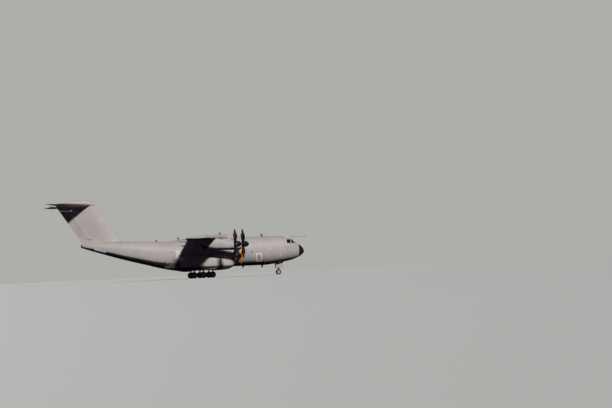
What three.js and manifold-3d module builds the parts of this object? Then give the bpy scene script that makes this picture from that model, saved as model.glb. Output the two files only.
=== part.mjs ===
// Military transport plane with a high wing, four turboprops, a T-tail and a rear ramp,
// built as a 1:2 scale model that stands on its wheels.
// Frame: millimetres, +X to the nose, +Y to the left wing tip, +Z up. The origin is on the
// ground, below the middle of the length.
import * as THREE from 'three';
import { mergeVertices } from 'three/addons/utils/BufferGeometryUtils.js';
import Module from 'manifold-3d';

const wasm = await Module();
wasm.setup();

// Scale. Every size below is in metres of the full-size aircraft, and M makes it model millimetres.
const SCALE = 1 / 2;
const M = 1000 * SCALE;

// A place is given as d, metres aft of the nose tip, y, metres left of the centre line,
// and h, metres above the underside of the middle fuselage.
const MIDDLE = 22.35;
const CLEARANCE = 1.8;

// Limits of the blocks that cut other solids, past the aircraft on every side.
const BEYOND = { front: -5, rear: 50, side: 30, low: -4, high: 16 };

// Gaps between neighbours: fixed joints are a hair apart, moving ones have room to swing.
const SEAM = 0.0006;
const SWING = 0.024;

// Fuselage sections. Columns: d, keel h, crown h, half width, squareness of the belly.
const HULL = [
  [0.02, 2.0, 2.28, 0.14, 2],
  [0.3, 1.62, 2.86, 0.62, 2],
  [1.03, 1.18, 3.46, 1.17, 2],
  [1.5, 0.98, 3.76, 1.45, 2],
  [2.4, 0.68, 4.58, 1.9, 2.1],
  [3.4, 0.48, 4.86, 2.27, 2.2],
  [5.0, 0.22, 4.98, 2.64, 2.3],
  [7.2, 0, 5.08, 2.82, 2.3],
  [20.5, 0, 5.08, 2.82, 2.3],
  [22.5, 0, 4.98, 2.82, 2.35],
  [24.45, 0.08, 4.89, 2.82, 2.8],
  [27.8, 0.9, 5.06, 2.74, 3.4],
  [31.3, 1.87, 5.24, 2.4, 3.4],
  [34.7, 2.92, 5.2, 1.86, 3],
  [38, 4.02, 4.98, 0.95, 2.4],
  [39.05, 4.4, 4.94, 0.35, 2],
];
const HULL_START = HULL[0][0];
const HULL_END = HULL[HULL.length - 1][0];
const HULL_POINTS = 24;
// Squareness of a rounded section: 2 is an ellipse, and more is boxier.
const SQUARENESS = { ellipse: 2, crown: 2.3, nacelle: 2.4, fairing: 3, podTop: 2.4, podBelly: 2.8 };
const WALL = 0.16;
const RADOME_JOINT = 1.03;
const NOSE_JOINT = 7.2;
const REAR_JOINT = 24.45;
const NOSE_BULKHEAD = 1.25;
const TAIL_BULKHEAD = 37.6;

// Cockpit panes, each side. Columns: low y, high y, front d, rear d, low h, high h.
const PANES = [
  [0.07, 0.86, 1.2, 2.42, 3.66, 4.34],
  [1, 3, 1.5, 2.42, 3.62, 4.3],
  [1, 3, 2.54, 3.25, 3.62, 4.3],
];
const GLASS = 0.03;
// The band of glass behind the posts. Columns: front d, rear d, low h, high h.
const GLASS_BAND = [1.42, 3.33, 3.54, 4.42];

// Doors. Columns: front d, rear d, low h, high h. Their blocks reach through the wall, between two y.
const CREW_DOOR = [5.65, 6.6, 0.88, 2.75];
const JUMP_DOOR = [23.2, 24.15, 0.9, 2.9];
const DOOR_REACH = { inner: 1, outer: 4 };

// Floors: the hold's deck and the flight deck above the nose gear.
const DECK = { front: 5.45, rear: 24.4, top: 0.85, thickness: 0.2 };
const FLIGHT_DECK = { front: 1.5, rear: 4.9, top: 2.6, thickness: 0.12 };
// Blocks on the flight deck. Columns: front d, rear d, half width, low h, high h.
const INSTRUMENT_PANEL = [1.62, 1.9, 1.05, 2.59, 3.4];
const CENTRE_CONSOLE = [1.85, 2.9, 0.2, 2.59, 2.95];
// Pilot's seat: pedestal, base, back and headrest, in the same columns.
const PILOT_Y = 0.62;
const PILOT_SEAT = [
  [2.9, 3.25, 0.16, 2.6006, 2.9],
  [2.75, 3.35, 0.26, 2.88, 3.05],
  [3.2, 3.35, 0.26, 3.03, 3.75],
  [3.21, 3.33, 0.14, 3.73, 3.92],
];

// Ramp and upper door, which close the belly behind the hold.
const RAMP = { front: 24.5, rear: 29.9, halfWidth: 1.95, lift: 0.5 };
const UPPER_DOOR = { rear: 36, rearHalfWidth: 1.05, lift: 0.4 };
const RAMP_JOINT_SLANT = 0.18;
const RAMP_JOINT_GAP = 0.09;

// Wing. Angles in degrees.
const WING = {
  lead: 12.9, rootChord: 7.5, tipChord: 3.1, halfSpan: 21.2, sweep: 17.7, level: 5.02,
  anhedral: 0.6, anhedralFrom: 2.8, rootRatio: 0.135, tipRatio: 0.11,
};
const WING_TIP = { round: 0.35, shrink: 0.72, lean: 0.7 };
const FLAP_HINGE = 0.73;
const FLAP_END_GAP = 0.14;
// Columns: name, inner y, outer y, y of its two track fairings.
const FLAPS = [
  ['inner', 3.3, 9.2, 4.1, 8.3],
  ['outer', 9.4, 15, 13, 14.4],
];
const TRACK = { start: 0.42, overhang: 0.75, halfWidth: 0.17, depth: 0.42, seat: 0.06 };
const AILERON = { inner: 15.25, outer: 20.4, hinge: 0.75 };
const PAD = { y: 16.4, fraction: 0.42, length: 1.2, width: 0.3, drop: 0.06 };
// A control surface's round nose stands this much proud of the skin ahead of its hinge.
const HINGE_ROUND = 1.04;

// Fairing over the wing's centre box. Columns: d, half width, low h, high h.
const FAIRING = [
  [10.9, 0.5, 4.85, 5.12],
  [12.3, 1.9, 4.5, 5.5],
  [14, 2.6, 4.2, 5.68],
  [18.5, 2.72, 4.1, 5.66],
  [21.2, 2.2, 4.2, 5.26],
  [23.4, 0.6, 4.5, 4.96],
];

// Engines. Columns: name, y, d of the propeller disc, h of its axis.
const ENGINES = [
  ['inner', 5.9, 11.5, 3.74],
  ['outer', 11.5, 13.5, 3.72],
];
// Nacelle sections behind the propeller disc. Columns: distance, half width, top, bottom.
const NACELLE = [
  [0.32, 0.56, 0.52, -0.85],
  [1.3, 0.66, 0.7, -0.93],
  [3.2, 0.7, 1.14, -0.9],
  [5.2, 0.6, 1.28, -0.4],
  [6.5, 0.2, 1.25, 0.55],
];
const NACELLE_WALL = 0.06;
const FIREWALL = 4.3;
const ENGINE = { length: 3.7, radius: 0.46, shaft: 0.12, shaftSeat: 1 };
const SPINNER = { blades: 8, radius: 0.525, shoulder: 0.12, nose: 1.05, back: 0.25, bluntness: 2.2 };
// Blade sections. Columns: radius, chord, thickness, lag behind the pitch line, pitch angle in degrees.
const BLADE = [
  [0.4, 0.2, 0.16, 0, 72],
  [0.9, 0.37, 0.07, -0.03, 66],
  [1.7, 0.45, 0.045, -0.04, 58],
  [2.35, 0.35, 0.03, 0.01, 53],
  [2.665, 0.16, 0.02, 0.07, 50],
];
// Outline of a blade section. Columns: share of the chord, share of the thickness.
const BLADE_OUTLINE = [[-0.5, 0], [-0.2, 0.5], [0.2, 0.4], [0.5, 0.05], [0.2, -0.4], [-0.2, -0.5]];

// Tail. FIN columns: h, leading edge d, trailing edge d.
const FIN = [
  [4.6, 31.1, 38.45],
  [5.7, 32.45, 39.15],
  [11.8, 36.48, 43.14],
];
const FIN_RATIO = 0.105;
const RUDDER = { low: 5.85, high: 10.85, chord: 2.1, room: 0.12 };
const TAILPLANE = {
  lead: 36.9, tipLead: 42.4, rootChord: 6, tipChord: 2.7, halfSpan: 9.5, level: 11.82, ratio: 0.105,
};
const TAIL_TIP = { round: 0.25, shrink: 0.8 };
const ELEVATOR = { inner: 1.1, outer: 9, hinge: 0.7 };
// Bullet at the top of the fin. Columns: d, half width, depth below and height above the tailplane.
const BULLET = [
  [36.35, 0.06, 0.1, 0.06],
  [37.2, 0.4, 0.46, 0.62],
  [38.6, 0.5, 0.6, 1.02],
  [40.6, 0.46, 0.58, 0.66],
  [42.4, 0.34, 0.44, 0.32],
  [44.3, 0.06, 0.08, 0.08],
];

// Sponson over the main wheels. Columns: d, middle y, half width, low h, high h.
const SPONSON = [
  [12.4, 2.6, 0.12, 0.35, 0.85],
  [13.9, 2.9, 0.78, -0.4, 1.7],
  [15.6, 3.02, 1, -0.55, 2.15],
  [20.9, 3.02, 1, -0.6, 2.15],
  [22.4, 2.85, 0.72, -0.34, 1.7],
  [23.1, 2.75, 0.55, -0.22, 0.86],
  [24.9, 2.5, 0.12, 0.14, 0.56],
];
const WELL = { front: 16.05, rear: 20.55, inner: 2.42, outer: 3.82, top: 0.3 };

// Wheels. The axles carry twin tyres on each side of a leg.
const MAIN_WHEEL = { radius: 0.545, width: 0.39, offset: 0.42, axle: 0.07, y: 3.12 };
const MAIN_AXLES = [['front', 16.7], ['middle', 18.3], ['rear', 19.9]];
// Shares of a tyre's radius and width where its outline bends, and the depth of the rim's dish.
const TYRE_SHAPE = { shoulder: 0.88, tread: 0.22, rim: 0.52, dishRim: 0.48, dish: 0.08 };
const AXLE_ROOM = 0.01;
// Main leg: the strut above the piston, the piston, the eye round the axle and the drag brace.
const MAIN_LEG = {
  radius: 0.11, endRadius: 0.1, top: 0.1, pistonRadius: 0.075, pistonTop: 0.3, strutEnd: 0.2,
  pistonEnd: 0.1, eye: 0.15, eyeHalfWidth: 0.1, braceRadius: 0.05, braceLead: 0.45, braceLow: -0.7,
};
const GEAR_BEAM = { halfWidth: 0.16, low: 0, endRoom: 0.1 };
const NOSE_WHEEL = { radius: 0.45, width: 0.31, offset: 0.32, axle: 0.06, d: 4.7 };
const NOSE_BAY = { front: 3.75, rear: 5.3, halfWidth: 0.46, top: 0.95, wall: 0.1 };
const NOSE_LEG = { radius: 0.13, low: -0.62, piston: 0.085, pistonEnd: 0.1, eye: 0.13, eyeHalfWidth: 0.09 };
const NOSE_COLLAR = { radius: 0.1625, height: 0.12 };
const NOSE_BRACE = { radius: 0.06, lead: 0.75, low: -0.35, drop: 0.09 };
const NOSE_BEAM = { halfLength: 0.1, halfWidth: 0.25, height: 0.15 };
const NOSE_DOOR = { front: 3.85, rear: 5.2, low: -0.6, high: 0.45, thickness: 0.05, gap: 0.03 };

// Refuelling probe over the right side of the cockpit.
const PROBE = {
  root: 3.6, tip: -0.4, y: -0.35, rootLevel: 4.93, tipLevel: 4.66, radius: 0.07, endRadius: 0.056,
};
const PROBE_TIP = { length: 0.3, overlap: 0.05, radius: 0.091, endRadius: 0.042 };
const PROBE_FAIRING = { front: 2.6, rear: 3.9, halfWidth: 0.12, low: 4.25, high: 5 };

const paint = (color, roughness, metalness = 0) =>
  new THREE.MeshStandardMaterial({ color, roughness, metalness });
const GREY = paint(0xb6aea9, 0.6);
const DARK_GREY = paint(0x5d5c60, 0.6);
const BLACK = paint(0x1a1820, 0.5);
const BLADE_BLACK = paint(0x232128, 0.45);
const GLAZING = paint(0x1c2530, 0.1);
const TYRE = paint(0x202022, 0.85);
const LEG_WHITE = paint(0xd9d8d4, 0.5);
const DECK_METAL = paint(0x8a8d90, 0.6, 0.5);
const SEAT_CLOTH = paint(0x4c5a4e, 0.9);

const toX = (d) => (MIDDLE - d) * M;
const toZ = (h) => (h + CLEARANCE) * M;
const at = (d, y, h) => new THREE.Vector3(toX(d), y * M, toZ(h));

// Solids. A closed mesh is turned right side out before it is used.
const signedVolume = (positions, faces) => {
  const corner = (i) => new THREE.Vector3().fromArray(positions, faces[i] * 3);
  let sum = 0;
  for (let i = 0; i < faces.length; i += 3) {
    sum += corner(i).dot(corner(i + 1).cross(corner(i + 2)));
  }
  return sum / 6;
};

const closedSolid = (positions, faces) => {
  const outward = signedVolume(positions, faces) < 0 ? [...faces].reverse() : faces;
  return new wasm.Manifold(new wasm.Mesh({
    numProp: 3,
    vertProperties: new Float32Array(positions),
    triVerts: new Uint32Array(outward),
  }));
};

const solidOf = (geometry) => {
  geometry.deleteAttribute('normal');
  geometry.deleteAttribute('uv');
  const merged = mergeVertices(geometry, 1e-3);
  return closedSolid(Array.from(merged.attributes.position.array), Array.from(merged.index.array));
};

const geometryOf = (solid) => {
  const mesh = solid.getMesh();
  const geometry = new THREE.BufferGeometry();
  geometry.setAttribute('position', new THREE.BufferAttribute(mesh.vertProperties, 3));
  geometry.setIndex(new THREE.BufferAttribute(mesh.triVerts, 1));
  return geometry;
};

const union = (...solids) => solids.reduce((whole, next) => whole.add(next));

// A skin through rings of points, with a flat cap at each end.
const loft = (rings) => {
  const count = rings[0].length;
  const faces = [];
  for (let ring = 0; ring + 1 < rings.length; ring++) {
    for (let i = 0; i < count; i++) {
      const a = ring * count + i;
      const b = ring * count + ((i + 1) % count);
      faces.push(a, b, b + count, a, b + count, a + count);
    }
  }
  const last = (rings.length - 1) * count;
  for (let i = 1; i + 1 < count; i++) {
    faces.push(0, i + 1, i, last, last + i, last + i + 1);
  }
  return closedSolid(rings.flat().flatMap((point) => point.toArray()), faces);
};

// Straight-sided blocks: an outline seen from above, from the side or from the front.
const extruded = (points, depth) => new THREE.ExtrudeGeometry(
  new THREE.Shape(points.map(([a, b]) => new THREE.Vector2(a, b))),
  { depth, bevelEnabled: false },
);
const planBlock = (outline, low, high) => {
  const points = outline.map(([d, y]) => [toX(d), y * M]);
  return solidOf(extruded(points, (high - low) * M).translate(0, 0, toZ(low)));
};
const sideBlock = (outline, right, left) => {
  const points = outline.map(([d, h]) => [toX(d), toZ(h)]);
  const block = extruded(points, (left - right) * M).rotateX(Math.PI / 2);
  return solidOf(block.translate(0, left * M, 0));
};
const box = (front, rear, right, left, low, high) =>
  planBlock([[front, right], [rear, right], [rear, left], [front, left]], low, high);
const block = ([front, rear, halfWidth, low, high], y = 0) =>
  box(front, rear, y - halfWidth, y + halfWidth, low, high);
const slab = (front, rear) =>
  box(front, rear, -BEYOND.side, BEYOND.side, BEYOND.low, BEYOND.high);

// A round bar between two places, straight or tapered.
const rod = (from, to, radius, endRadius = radius, sides = 16) => {
  const length = from.distanceTo(to);
  const bar = new THREE.CylinderGeometry(endRadius * M, radius * M, length, sides);
  const turn = new THREE.Quaternion().setFromUnitVectors(
    new THREE.Vector3(0, 1, 0), to.clone().sub(from).normalize());
  bar.applyQuaternion(turn).translate(...from.clone().add(to).multiplyScalar(0.5).toArray());
  return solidOf(bar);
};

// A body turned about an axis through the origin, along X or Y. The outline holds [along, radius].
const turned = (outline, sides, axis) => {
  const lathe = new THREE.LatheGeometry(
    outline.map(([along, radius]) => new THREE.Vector2(radius * M, along * M)), sides);
  return solidOf(axis === 'x' ? lathe.rotateZ(-Math.PI / 2) : lathe);
};

// Splits a moving or fixed piece out of the solid it is cut from, with a gap all round.
const release = (host, core, gap) => [host.subtract(core(gap)), host.intersect(core(0))];

const degrees = (angle) => angle * Math.PI / 180;
const mix = (a, b, t) => a + (b - a) * t;
const interpolate = (table, position) => {
  const row = Math.max(1, table.findIndex(([start]) => start >= position));
  const [before, after] = [table[row - 1], table[row]];
  const t = (position - before[0]) / (after[0] - before[0]);
  return before.map((value, column) => mix(value, after[column], t));
};

// A rounded section across the fuselage, drawn with its own squareness above and below.
const sectionRing = (d, middle, halfWidth, low, high, belly, crown, points) => {
  const ring = [];
  for (let i = 0; i < points; i++) {
    const angle = 2 * Math.PI * (i + 0.5) / points;
    const [c, s] = [Math.cos(angle), Math.sin(angle)];
    const power = 2 / (s < 0 ? belly : crown);
    const y = middle + halfWidth * Math.sign(c) * Math.abs(c) ** power;
    const h = (low + high) / 2 + (high - low) / 2 * Math.sign(s) * Math.abs(s) ** power;
    ring.push(at(d, y, h));
  }
  return ring;
};

const hullRing = (d, inset) => {
  const [, keel, crown, halfWidth, belly] = interpolate(HULL, d);
  return sectionRing(d, 0, halfWidth - inset, keel + inset, crown - inset, belly,
    SQUARENESS.crown, HULL_POINTS);
};
const hull = (inset, front, rear) => {
  const between = HULL.map(([d]) => d).filter((d) => d > front && d < rear);
  return loft([front, ...between, rear].map((d) => hullRing(d, inset)));
};

// Wing and tail sections. Columns: fraction of the chord, share of the half thickness.
const PROFILE = [[0, 0], [0.03, 0.42], [0.14, 0.84], [0.34, 1], [0.66, 0.68], [1, 0.05]];
const profilePoints = (lead, chord, thickness, grow) => {
  const point = ([fraction, share], side) => [
    lead + chord * fraction + (fraction * 2 - 1) * grow,
    side * (share * thickness / 2 + grow),
  ];
  const upper = PROFILE.slice(1).map((row) => point(row, 1));
  const lower = PROFILE.slice(1).reverse().map((row) => point(row, -1));
  return [[lead - grow, 0], ...upper, ...lower];
};
const shareAt = (fraction) => interpolate(PROFILE, fraction)[1];

const wingAt = (y) => {
  const t = y / WING.halfSpan;
  const chord = mix(WING.rootChord, WING.tipChord, t);
  return {
    lead: WING.lead + y * Math.tan(degrees(WING.sweep)),
    chord,
    level: WING.level - Math.max(0, y - WING.anhedralFrom) * Math.tan(degrees(WING.anhedral)),
    thickness: chord * mix(WING.rootRatio, WING.tipRatio, t),
  };
};
const wingRing = (side, y, grow, shrink = 1) => {
  const { lead, chord, level, thickness } = wingAt(y);
  const inset = chord * (1 - shrink);
  return profilePoints(lead + inset * WING_TIP.lean, chord - inset, thickness * shrink, grow)
    .map(([d, rise]) => at(d, side * y, level + rise));
};
const wingSolid = (side, grow) => loft([
  wingRing(side, grow > 0 ? 0 : SEAM / 2, grow),
  wingRing(side, WING.anhedralFrom, grow),
  wingRing(side, WING.halfSpan - WING_TIP.round, grow),
  wingRing(side, WING.halfSpan, grow, WING_TIP.shrink),
]);

// One part of the wing behind a hinge line: its plan from inner to outer, with a gap all round.
const behindHinge = (side, inner, outer, fraction, gap, noseGap) => {
  const hingeAt = (y) => wingAt(y).lead + wingAt(y).chord * fraction - noseGap;
  const [low, high] = [inner - gap, outer + gap];
  return planBlock([
    [hingeAt(low), side * low], [hingeAt(high), side * high],
    [BEYOND.rear, side * high], [BEYOND.rear, side * low],
  ], BEYOND.low, BEYOND.high);
};

const trackFairing = (side, y) => {
  const { lead, chord, level, thickness } = wingAt(y);
  const underside = (fraction) => level - shareAt(Math.min(1, fraction)) * thickness / 2;
  const end = (chord + TRACK.overhang) / chord;
  // Columns: fraction of the chord, share of the full width, share of the full depth.
  const rows = [
    [TRACK.start, 0.2, 0.1], [mix(TRACK.start, FLAP_HINGE, 0.5), 0.9, 0.75],
    [FLAP_HINGE, 1, 1], [mix(FLAP_HINGE, end, 0.5), 0.85, 0.75], [end, 0.15, 0.05],
  ];
  return loft(rows.map(([fraction, width, depth]) => {
    return sectionRing(lead + chord * fraction, side * y, TRACK.halfWidth * width,
      underside(fraction) - TRACK.depth * depth, underside(fraction) + TRACK.seat,
      SQUARENESS.ellipse, SQUARENESS.ellipse, 8);
  }));
};

const root = new THREE.Group();
const addSolid = (name, solid, material, place) => {
  const mesh = new THREE.Mesh(geometryOf(solid), material);
  mesh.name = name;
  if (place) {
    mesh.position.copy(place);
  }
  root.add(mesh);
};
const SIDES = [['left', 1], ['right', -1]];

// Fuselage: three hollow barrels, a solid radome, cut for panes, doors, nose gear and ramp.
const wingCut = union(wingSolid(1, SEAM), wingSolid(-1, SEAM));
const hullCut = hull(-SEAM, HULL_START, HULL_END);
const shell = hull(0, HULL_START, HULL_END).subtract(hull(WALL, NOSE_BULKHEAD, TAIL_BULKHEAD));
const barrel = (front, rear) => slab(front + SEAM / 2, rear - SEAM / 2);

const paneBlocks = (gap) => union(...SIDES.flatMap(([, side]) =>
  PANES.map(([inner, outer, front, rear, low, high]) => {
    const [a, b] = [side * (inner + gap), side * (outer - gap)].sort((p, q) => p - q);
    return box(front + gap, rear - gap, a, b, low + gap, high - gap);
  })));

const noseBay = (grow) => block([NOSE_BAY.front - grow, NOSE_BAY.rear + grow,
  NOSE_BAY.halfWidth + grow, BEYOND.low, NOSE_BAY.top + grow]);
const bayWalls = noseBay(NOSE_BAY.wall).intersect(hull(0, RADOME_JOINT, NOSE_JOINT));

const sideDoor = ([front, rear, low, high], side, gap) => {
  const [a, b] = [side * DOOR_REACH.inner, side * DOOR_REACH.outer].sort((p, q) => p - q);
  return box(front - gap, rear + gap, a, b, low - gap, high + gap);
};

const noseBarrel = shell.intersect(barrel(RADOME_JOINT, NOSE_JOINT)).add(bayWalls)
  .subtract(paneBlocks(0)).subtract(noseBay(0));
const [fuselageNose, crewDoor] = release(noseBarrel, (gap) => sideDoor(CREW_DOOR, 1, gap), SWING / 2);
addSolid('fuselage_nose', fuselageNose, GREY);
addSolid('radome', hull(0, HULL_START, RADOME_JOINT - SEAM / 2), BLACK);
addSolid('crew_door', crewDoor, GREY);

// Glazing: the panes stand in their openings and share one band behind the posts.
const [bandFront, bandRear, bandLow, bandHigh] = GLASS_BAND;
const paneBand = block([bandFront, bandRear, BEYOND.side, bandLow, bandHigh]);
const glassPanes = hull(GLASS, NOSE_BULKHEAD, NOSE_JOINT).intersect(paneBlocks(SEAM));
const glassBand = hull(WALL + SEAM, NOSE_BULKHEAD, NOSE_JOINT).intersect(paneBand);
addSolid('cockpit_glazing', glassPanes.add(glassBand)
  .subtract(hull(WALL + GLASS, RADOME_JOINT, NOSE_JOINT + 1)), GLAZING);

// Flight deck with its instrument panel and centre console, and the two seats.
const deckEdge = hull(WALL + SEAM, NOSE_BULKHEAD + SEAM, REAR_JOINT);
const floorBlock = ({ front, rear, top, thickness }) =>
  block([front, rear, BEYOND.side, top - thickness, top]);
const flightDeck = union(floorBlock(FLIGHT_DECK), block(INSTRUMENT_PANEL), block(CENTRE_CONSOLE));
addSolid('flight_deck', flightDeck.intersect(deckEdge), DARK_GREY);
for (const [sideName, side] of SIDES) {
  const blocks = PILOT_SEAT.map((row) => block(row, side * PILOT_Y));
  addSolid(`pilot_seat_${sideName}`, union(...blocks), SEAT_CLOTH);
}

// Middle barrel, opened above for the wing's centre box, with a jump door on each side.
const centreBarrel = shell.intersect(barrel(NOSE_JOINT, REAR_JOINT)).subtract(wingCut);
const jumpDoors = (gap) => union(sideDoor(JUMP_DOOR, 1, gap), sideDoor(JUMP_DOOR, -1, gap));
addSolid('fuselage_centre', centreBarrel.subtract(jumpDoors(SEAM)), GREY);
for (const [sideName, side] of SIDES) {
  addSolid(`jump_door_${sideName}`, centreBarrel.intersect(sideDoor(JUMP_DOOR, side, 0)), GREY);
}
addSolid('cargo_floor', floorBlock(DECK).intersect(deckEdge), DECK_METAL);

// Rear barrel. The ramp and the upper door are cut from the belly, as thick as their lift.
const keelAt = (d) => interpolate(HULL, d)[1];
const bellyLine = (front, rear, lift, gap) => {
  const stations = [front, ...HULL.map(([d]) => d).filter((d) => d > front && d < rear), rear];
  return stations.map((d) => [d, keelAt(d) + lift + gap]);
};
const rampCore = (gap) => {
  const [front, rear] = [RAMP.front + SWING - gap, RAMP.rear + gap];
  const side = sideBlock([
    ...bellyLine(front, rear, RAMP.lift, gap), [rear + RAMP_JOINT_SLANT, keelAt(rear)],
    [rear + RAMP_JOINT_SLANT, BEYOND.low], [front, BEYOND.low],
  ], -BEYOND.side, BEYOND.side);
  return side.intersect(
    block([BEYOND.front, BEYOND.rear, RAMP.halfWidth + gap, BEYOND.low, BEYOND.high]));
};
const upperDoorFront = RAMP.rear + RAMP_JOINT_GAP;
const upperDoorCore = (gap) => {
  const [front, rear] = [upperDoorFront - gap, UPPER_DOOR.rear + gap];
  const side = sideBlock([
    ...bellyLine(front, rear, UPPER_DOOR.lift, gap), [rear, BEYOND.low],
    [front + RAMP_JOINT_SLANT, BEYOND.low], [front + RAMP_JOINT_SLANT, keelAt(front)],
  ], -BEYOND.side, BEYOND.side);
  const plan = planBlock([
    [upperDoorFront - 1, RAMP.halfWidth + gap], [upperDoorFront - 1, -RAMP.halfWidth - gap],
    [rear + 1, -UPPER_DOOR.rearHalfWidth - gap], [rear + 1, UPPER_DOOR.rearHalfWidth + gap],
  ], BEYOND.low, BEYOND.high);
  return side.intersect(plan);
};
const rearOuter = hull(0, REAR_JOINT, HULL_END);
const rearOpening = union(rampCore(SWING), upperDoorCore(SWING));
addSolid('fuselage_rear',
  shell.intersect(barrel(REAR_JOINT, BEYOND.rear)).subtract(rearOpening), GREY);
addSolid('ramp', rearOuter.intersect(rampCore(0)), GREY);
addSolid('upper_cargo_door', rearOuter.intersect(upperDoorCore(0)), GREY);

// Fairing over the wing root, seated on the fuselage, with the wing passing through it.
const fairing = loft(FAIRING.map(([d, halfWidth, low, high]) =>
  sectionRing(d, 0, halfWidth, low, high, SQUARENESS.fairing, SQUARENESS.fairing, 16)));
addSolid('wing_fairing', fairing.subtract(hullCut).subtract(wingCut), GREY);

// Wings, flaps and ailerons. Flap tracks are split with the flap, at its hinge line.
for (const [sideName, side] of SIDES) {
  const tracks = FLAPS.flatMap(([, , , inner, outer]) => [inner, outer]);
  let wing = union(wingSolid(side, 0), ...tracks.map((y) => trackFairing(side, y)));
  for (const [name, inner, outer] of FLAPS) {
    const core = (gap) => behindHinge(side, inner, outer, FLAP_HINGE, gap > 0 ? FLAP_END_GAP : 0, gap);
    const [rest, flap] = release(wing, core, SWING);
    wing = rest;
    addSolid(`flap_${name}_${sideName}`, flap, GREY);
  }
  const pivotAt = (y) => {
    const { lead, chord, level, thickness } = wingAt(y);
    return {
      place: at(lead + chord * AILERON.hinge, side * y, level),
      radius: shareAt(AILERON.hinge) * thickness / 2 * HINGE_ROUND,
    };
  };
  const aileronCore = (gap) => {
    const [inner, outer] = [pivotAt(AILERON.inner - gap), pivotAt(AILERON.outer + gap)];
    return behindHinge(side, AILERON.inner, AILERON.outer, AILERON.hinge, gap, 0)
      .add(rod(inner.place, outer.place, inner.radius + gap, outer.radius + gap));
  };
  const [rest, aileron] = release(wing, aileronCore, SWING);
  const pad = wingAt(PAD.y);
  const padD = pad.lead + pad.chord * PAD.fraction;
  const padLow = pad.level - pad.thickness / 2 - PAD.drop;
  const [padA, padB] = [side * PAD.y - PAD.width / 2, side * PAD.y + PAD.width / 2];
  const hardpoint = box(padD - PAD.length / 2, padD + PAD.length / 2, padA, padB, padLow, pad.level);
  addSolid(`wing_${sideName}`, rest.add(hardpoint), GREY);
  addSolid(`aileron_${sideName}`, aileron, GREY);
}

// Propeller, modelled at its hub with the disc in the plane of the origin.
const bladeSolid = (hand) => loft(BLADE.map(([radius, chord, thickness, lag, pitch]) => {
  const [c, s] = [Math.cos(degrees(pitch)), Math.sin(degrees(pitch))];
  return BLADE_OUTLINE.map(([along, across]) => {
    const [u, v] = [along * chord + lag, across * thickness];
    return new THREE.Vector3((v * c - u * s) * M, hand * (u * c + v * s) * M, radius * M);
  });
}));
const propellerSolid = (hand) => {
  const { radius, shoulder, nose, back, bluntness } = SPINNER;
  const profile = [[-back, 0], [-back, radius]];
  for (const t of [0, 0.35, 0.65, 0.88]) {
    profile.push([mix(shoulder, nose, t), radius * Math.sqrt(1 - t ** bluntness)]);
  }
  let whole = turned([...profile, [nose, 0]], 16, 'x');
  const blade = geometryOf(bladeSolid(hand));
  for (let i = 0; i < SPINNER.blades; i++) {
    whole = whole.add(solidOf(blade.clone().rotateX(2 * Math.PI * i / SPINNER.blades)));
  }
  return whole;
};

// Engines: an open-fronted cowl under the wing, the engine block on its firewall, the propeller.
for (const [sideName, side] of SIDES) {
  for (const [name, y, disc, axis] of ENGINES) {
    const ring = (row, inset) => {
      const [distance, halfWidth, top, bottom] = row;
      return sectionRing(disc + distance, side * y, halfWidth - inset, axis + bottom + inset,
        axis + top - inset, SQUARENESS.nacelle, SQUARENESS.nacelle, 16);
    };
    const [lip, ...behindLip] = NACELLE.filter(([distance]) => distance < FIREWALL);
    const ahead = [lip[0] - 0.1, ...lip.slice(1)];
    const bore = [ahead, ...behindLip, interpolate(NACELLE, FIREWALL)]
      .map((row) => ring(row, NACELLE_WALL));
    const cowl = loft(NACELLE.map((row) => ring(row, 0))).subtract(loft(bore));
    addSolid(`nacelle_${name}_${sideName}`, cowl.subtract(wingSolid(side, SEAM)), GREY);
    const rear = disc + FIREWALL - SEAM;
    addSolid(`engine_${name}_${sideName}`, union(
      rod(at(rear, side * y, axis), at(rear - ENGINE.length, side * y, axis), ENGINE.radius),
      rod(at(rear - ENGINE.shaftSeat, side * y, axis),
        at(disc + SPINNER.back + SWING / 2, side * y, axis), ENGINE.shaft),
    ), DARK_GREY);
    const hand = side * (name === 'inner' ? -1 : 1);
    addSolid(`propeller_${name}_${sideName}`, propellerSolid(hand), BLADE_BLACK, at(disc, side * y, axis));
  }
}

// Tailplane with its bullet, the elevators, and the fin and rudder below.
const tailAt = (y) => {
  const t = y / TAILPLANE.halfSpan;
  const chord = mix(TAILPLANE.rootChord, TAILPLANE.tipChord, t);
  return { lead: mix(TAILPLANE.lead, TAILPLANE.tipLead, t), chord, thickness: chord * TAILPLANE.ratio };
};
const tailRing = (y, grow, shrink = 1) => {
  const { lead, chord, thickness } = tailAt(Math.abs(y));
  const inset = chord * (1 - shrink);
  return profilePoints(lead + inset, chord - inset, thickness * shrink, grow)
    .map(([d, rise]) => at(d, y, TAILPLANE.level + rise));
};
const tailSolid = (grow) => {
  const { halfSpan } = TAILPLANE;
  const half = (side) => loft([
    tailRing(0, grow), tailRing(side * (halfSpan - TAIL_TIP.round), grow),
    tailRing(side * halfSpan, grow, TAIL_TIP.shrink),
  ]);
  const bullet = loft(BULLET.map(([d, halfWidth, depth, height]) => sectionRing(d, 0, halfWidth + grow,
    TAILPLANE.level - depth - grow, TAILPLANE.level + height + grow,
    SQUARENESS.ellipse, SQUARENESS.ellipse, 12)));
  return union(half(1), half(-1), bullet);
};
let tailplane = tailSolid(0);
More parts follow.
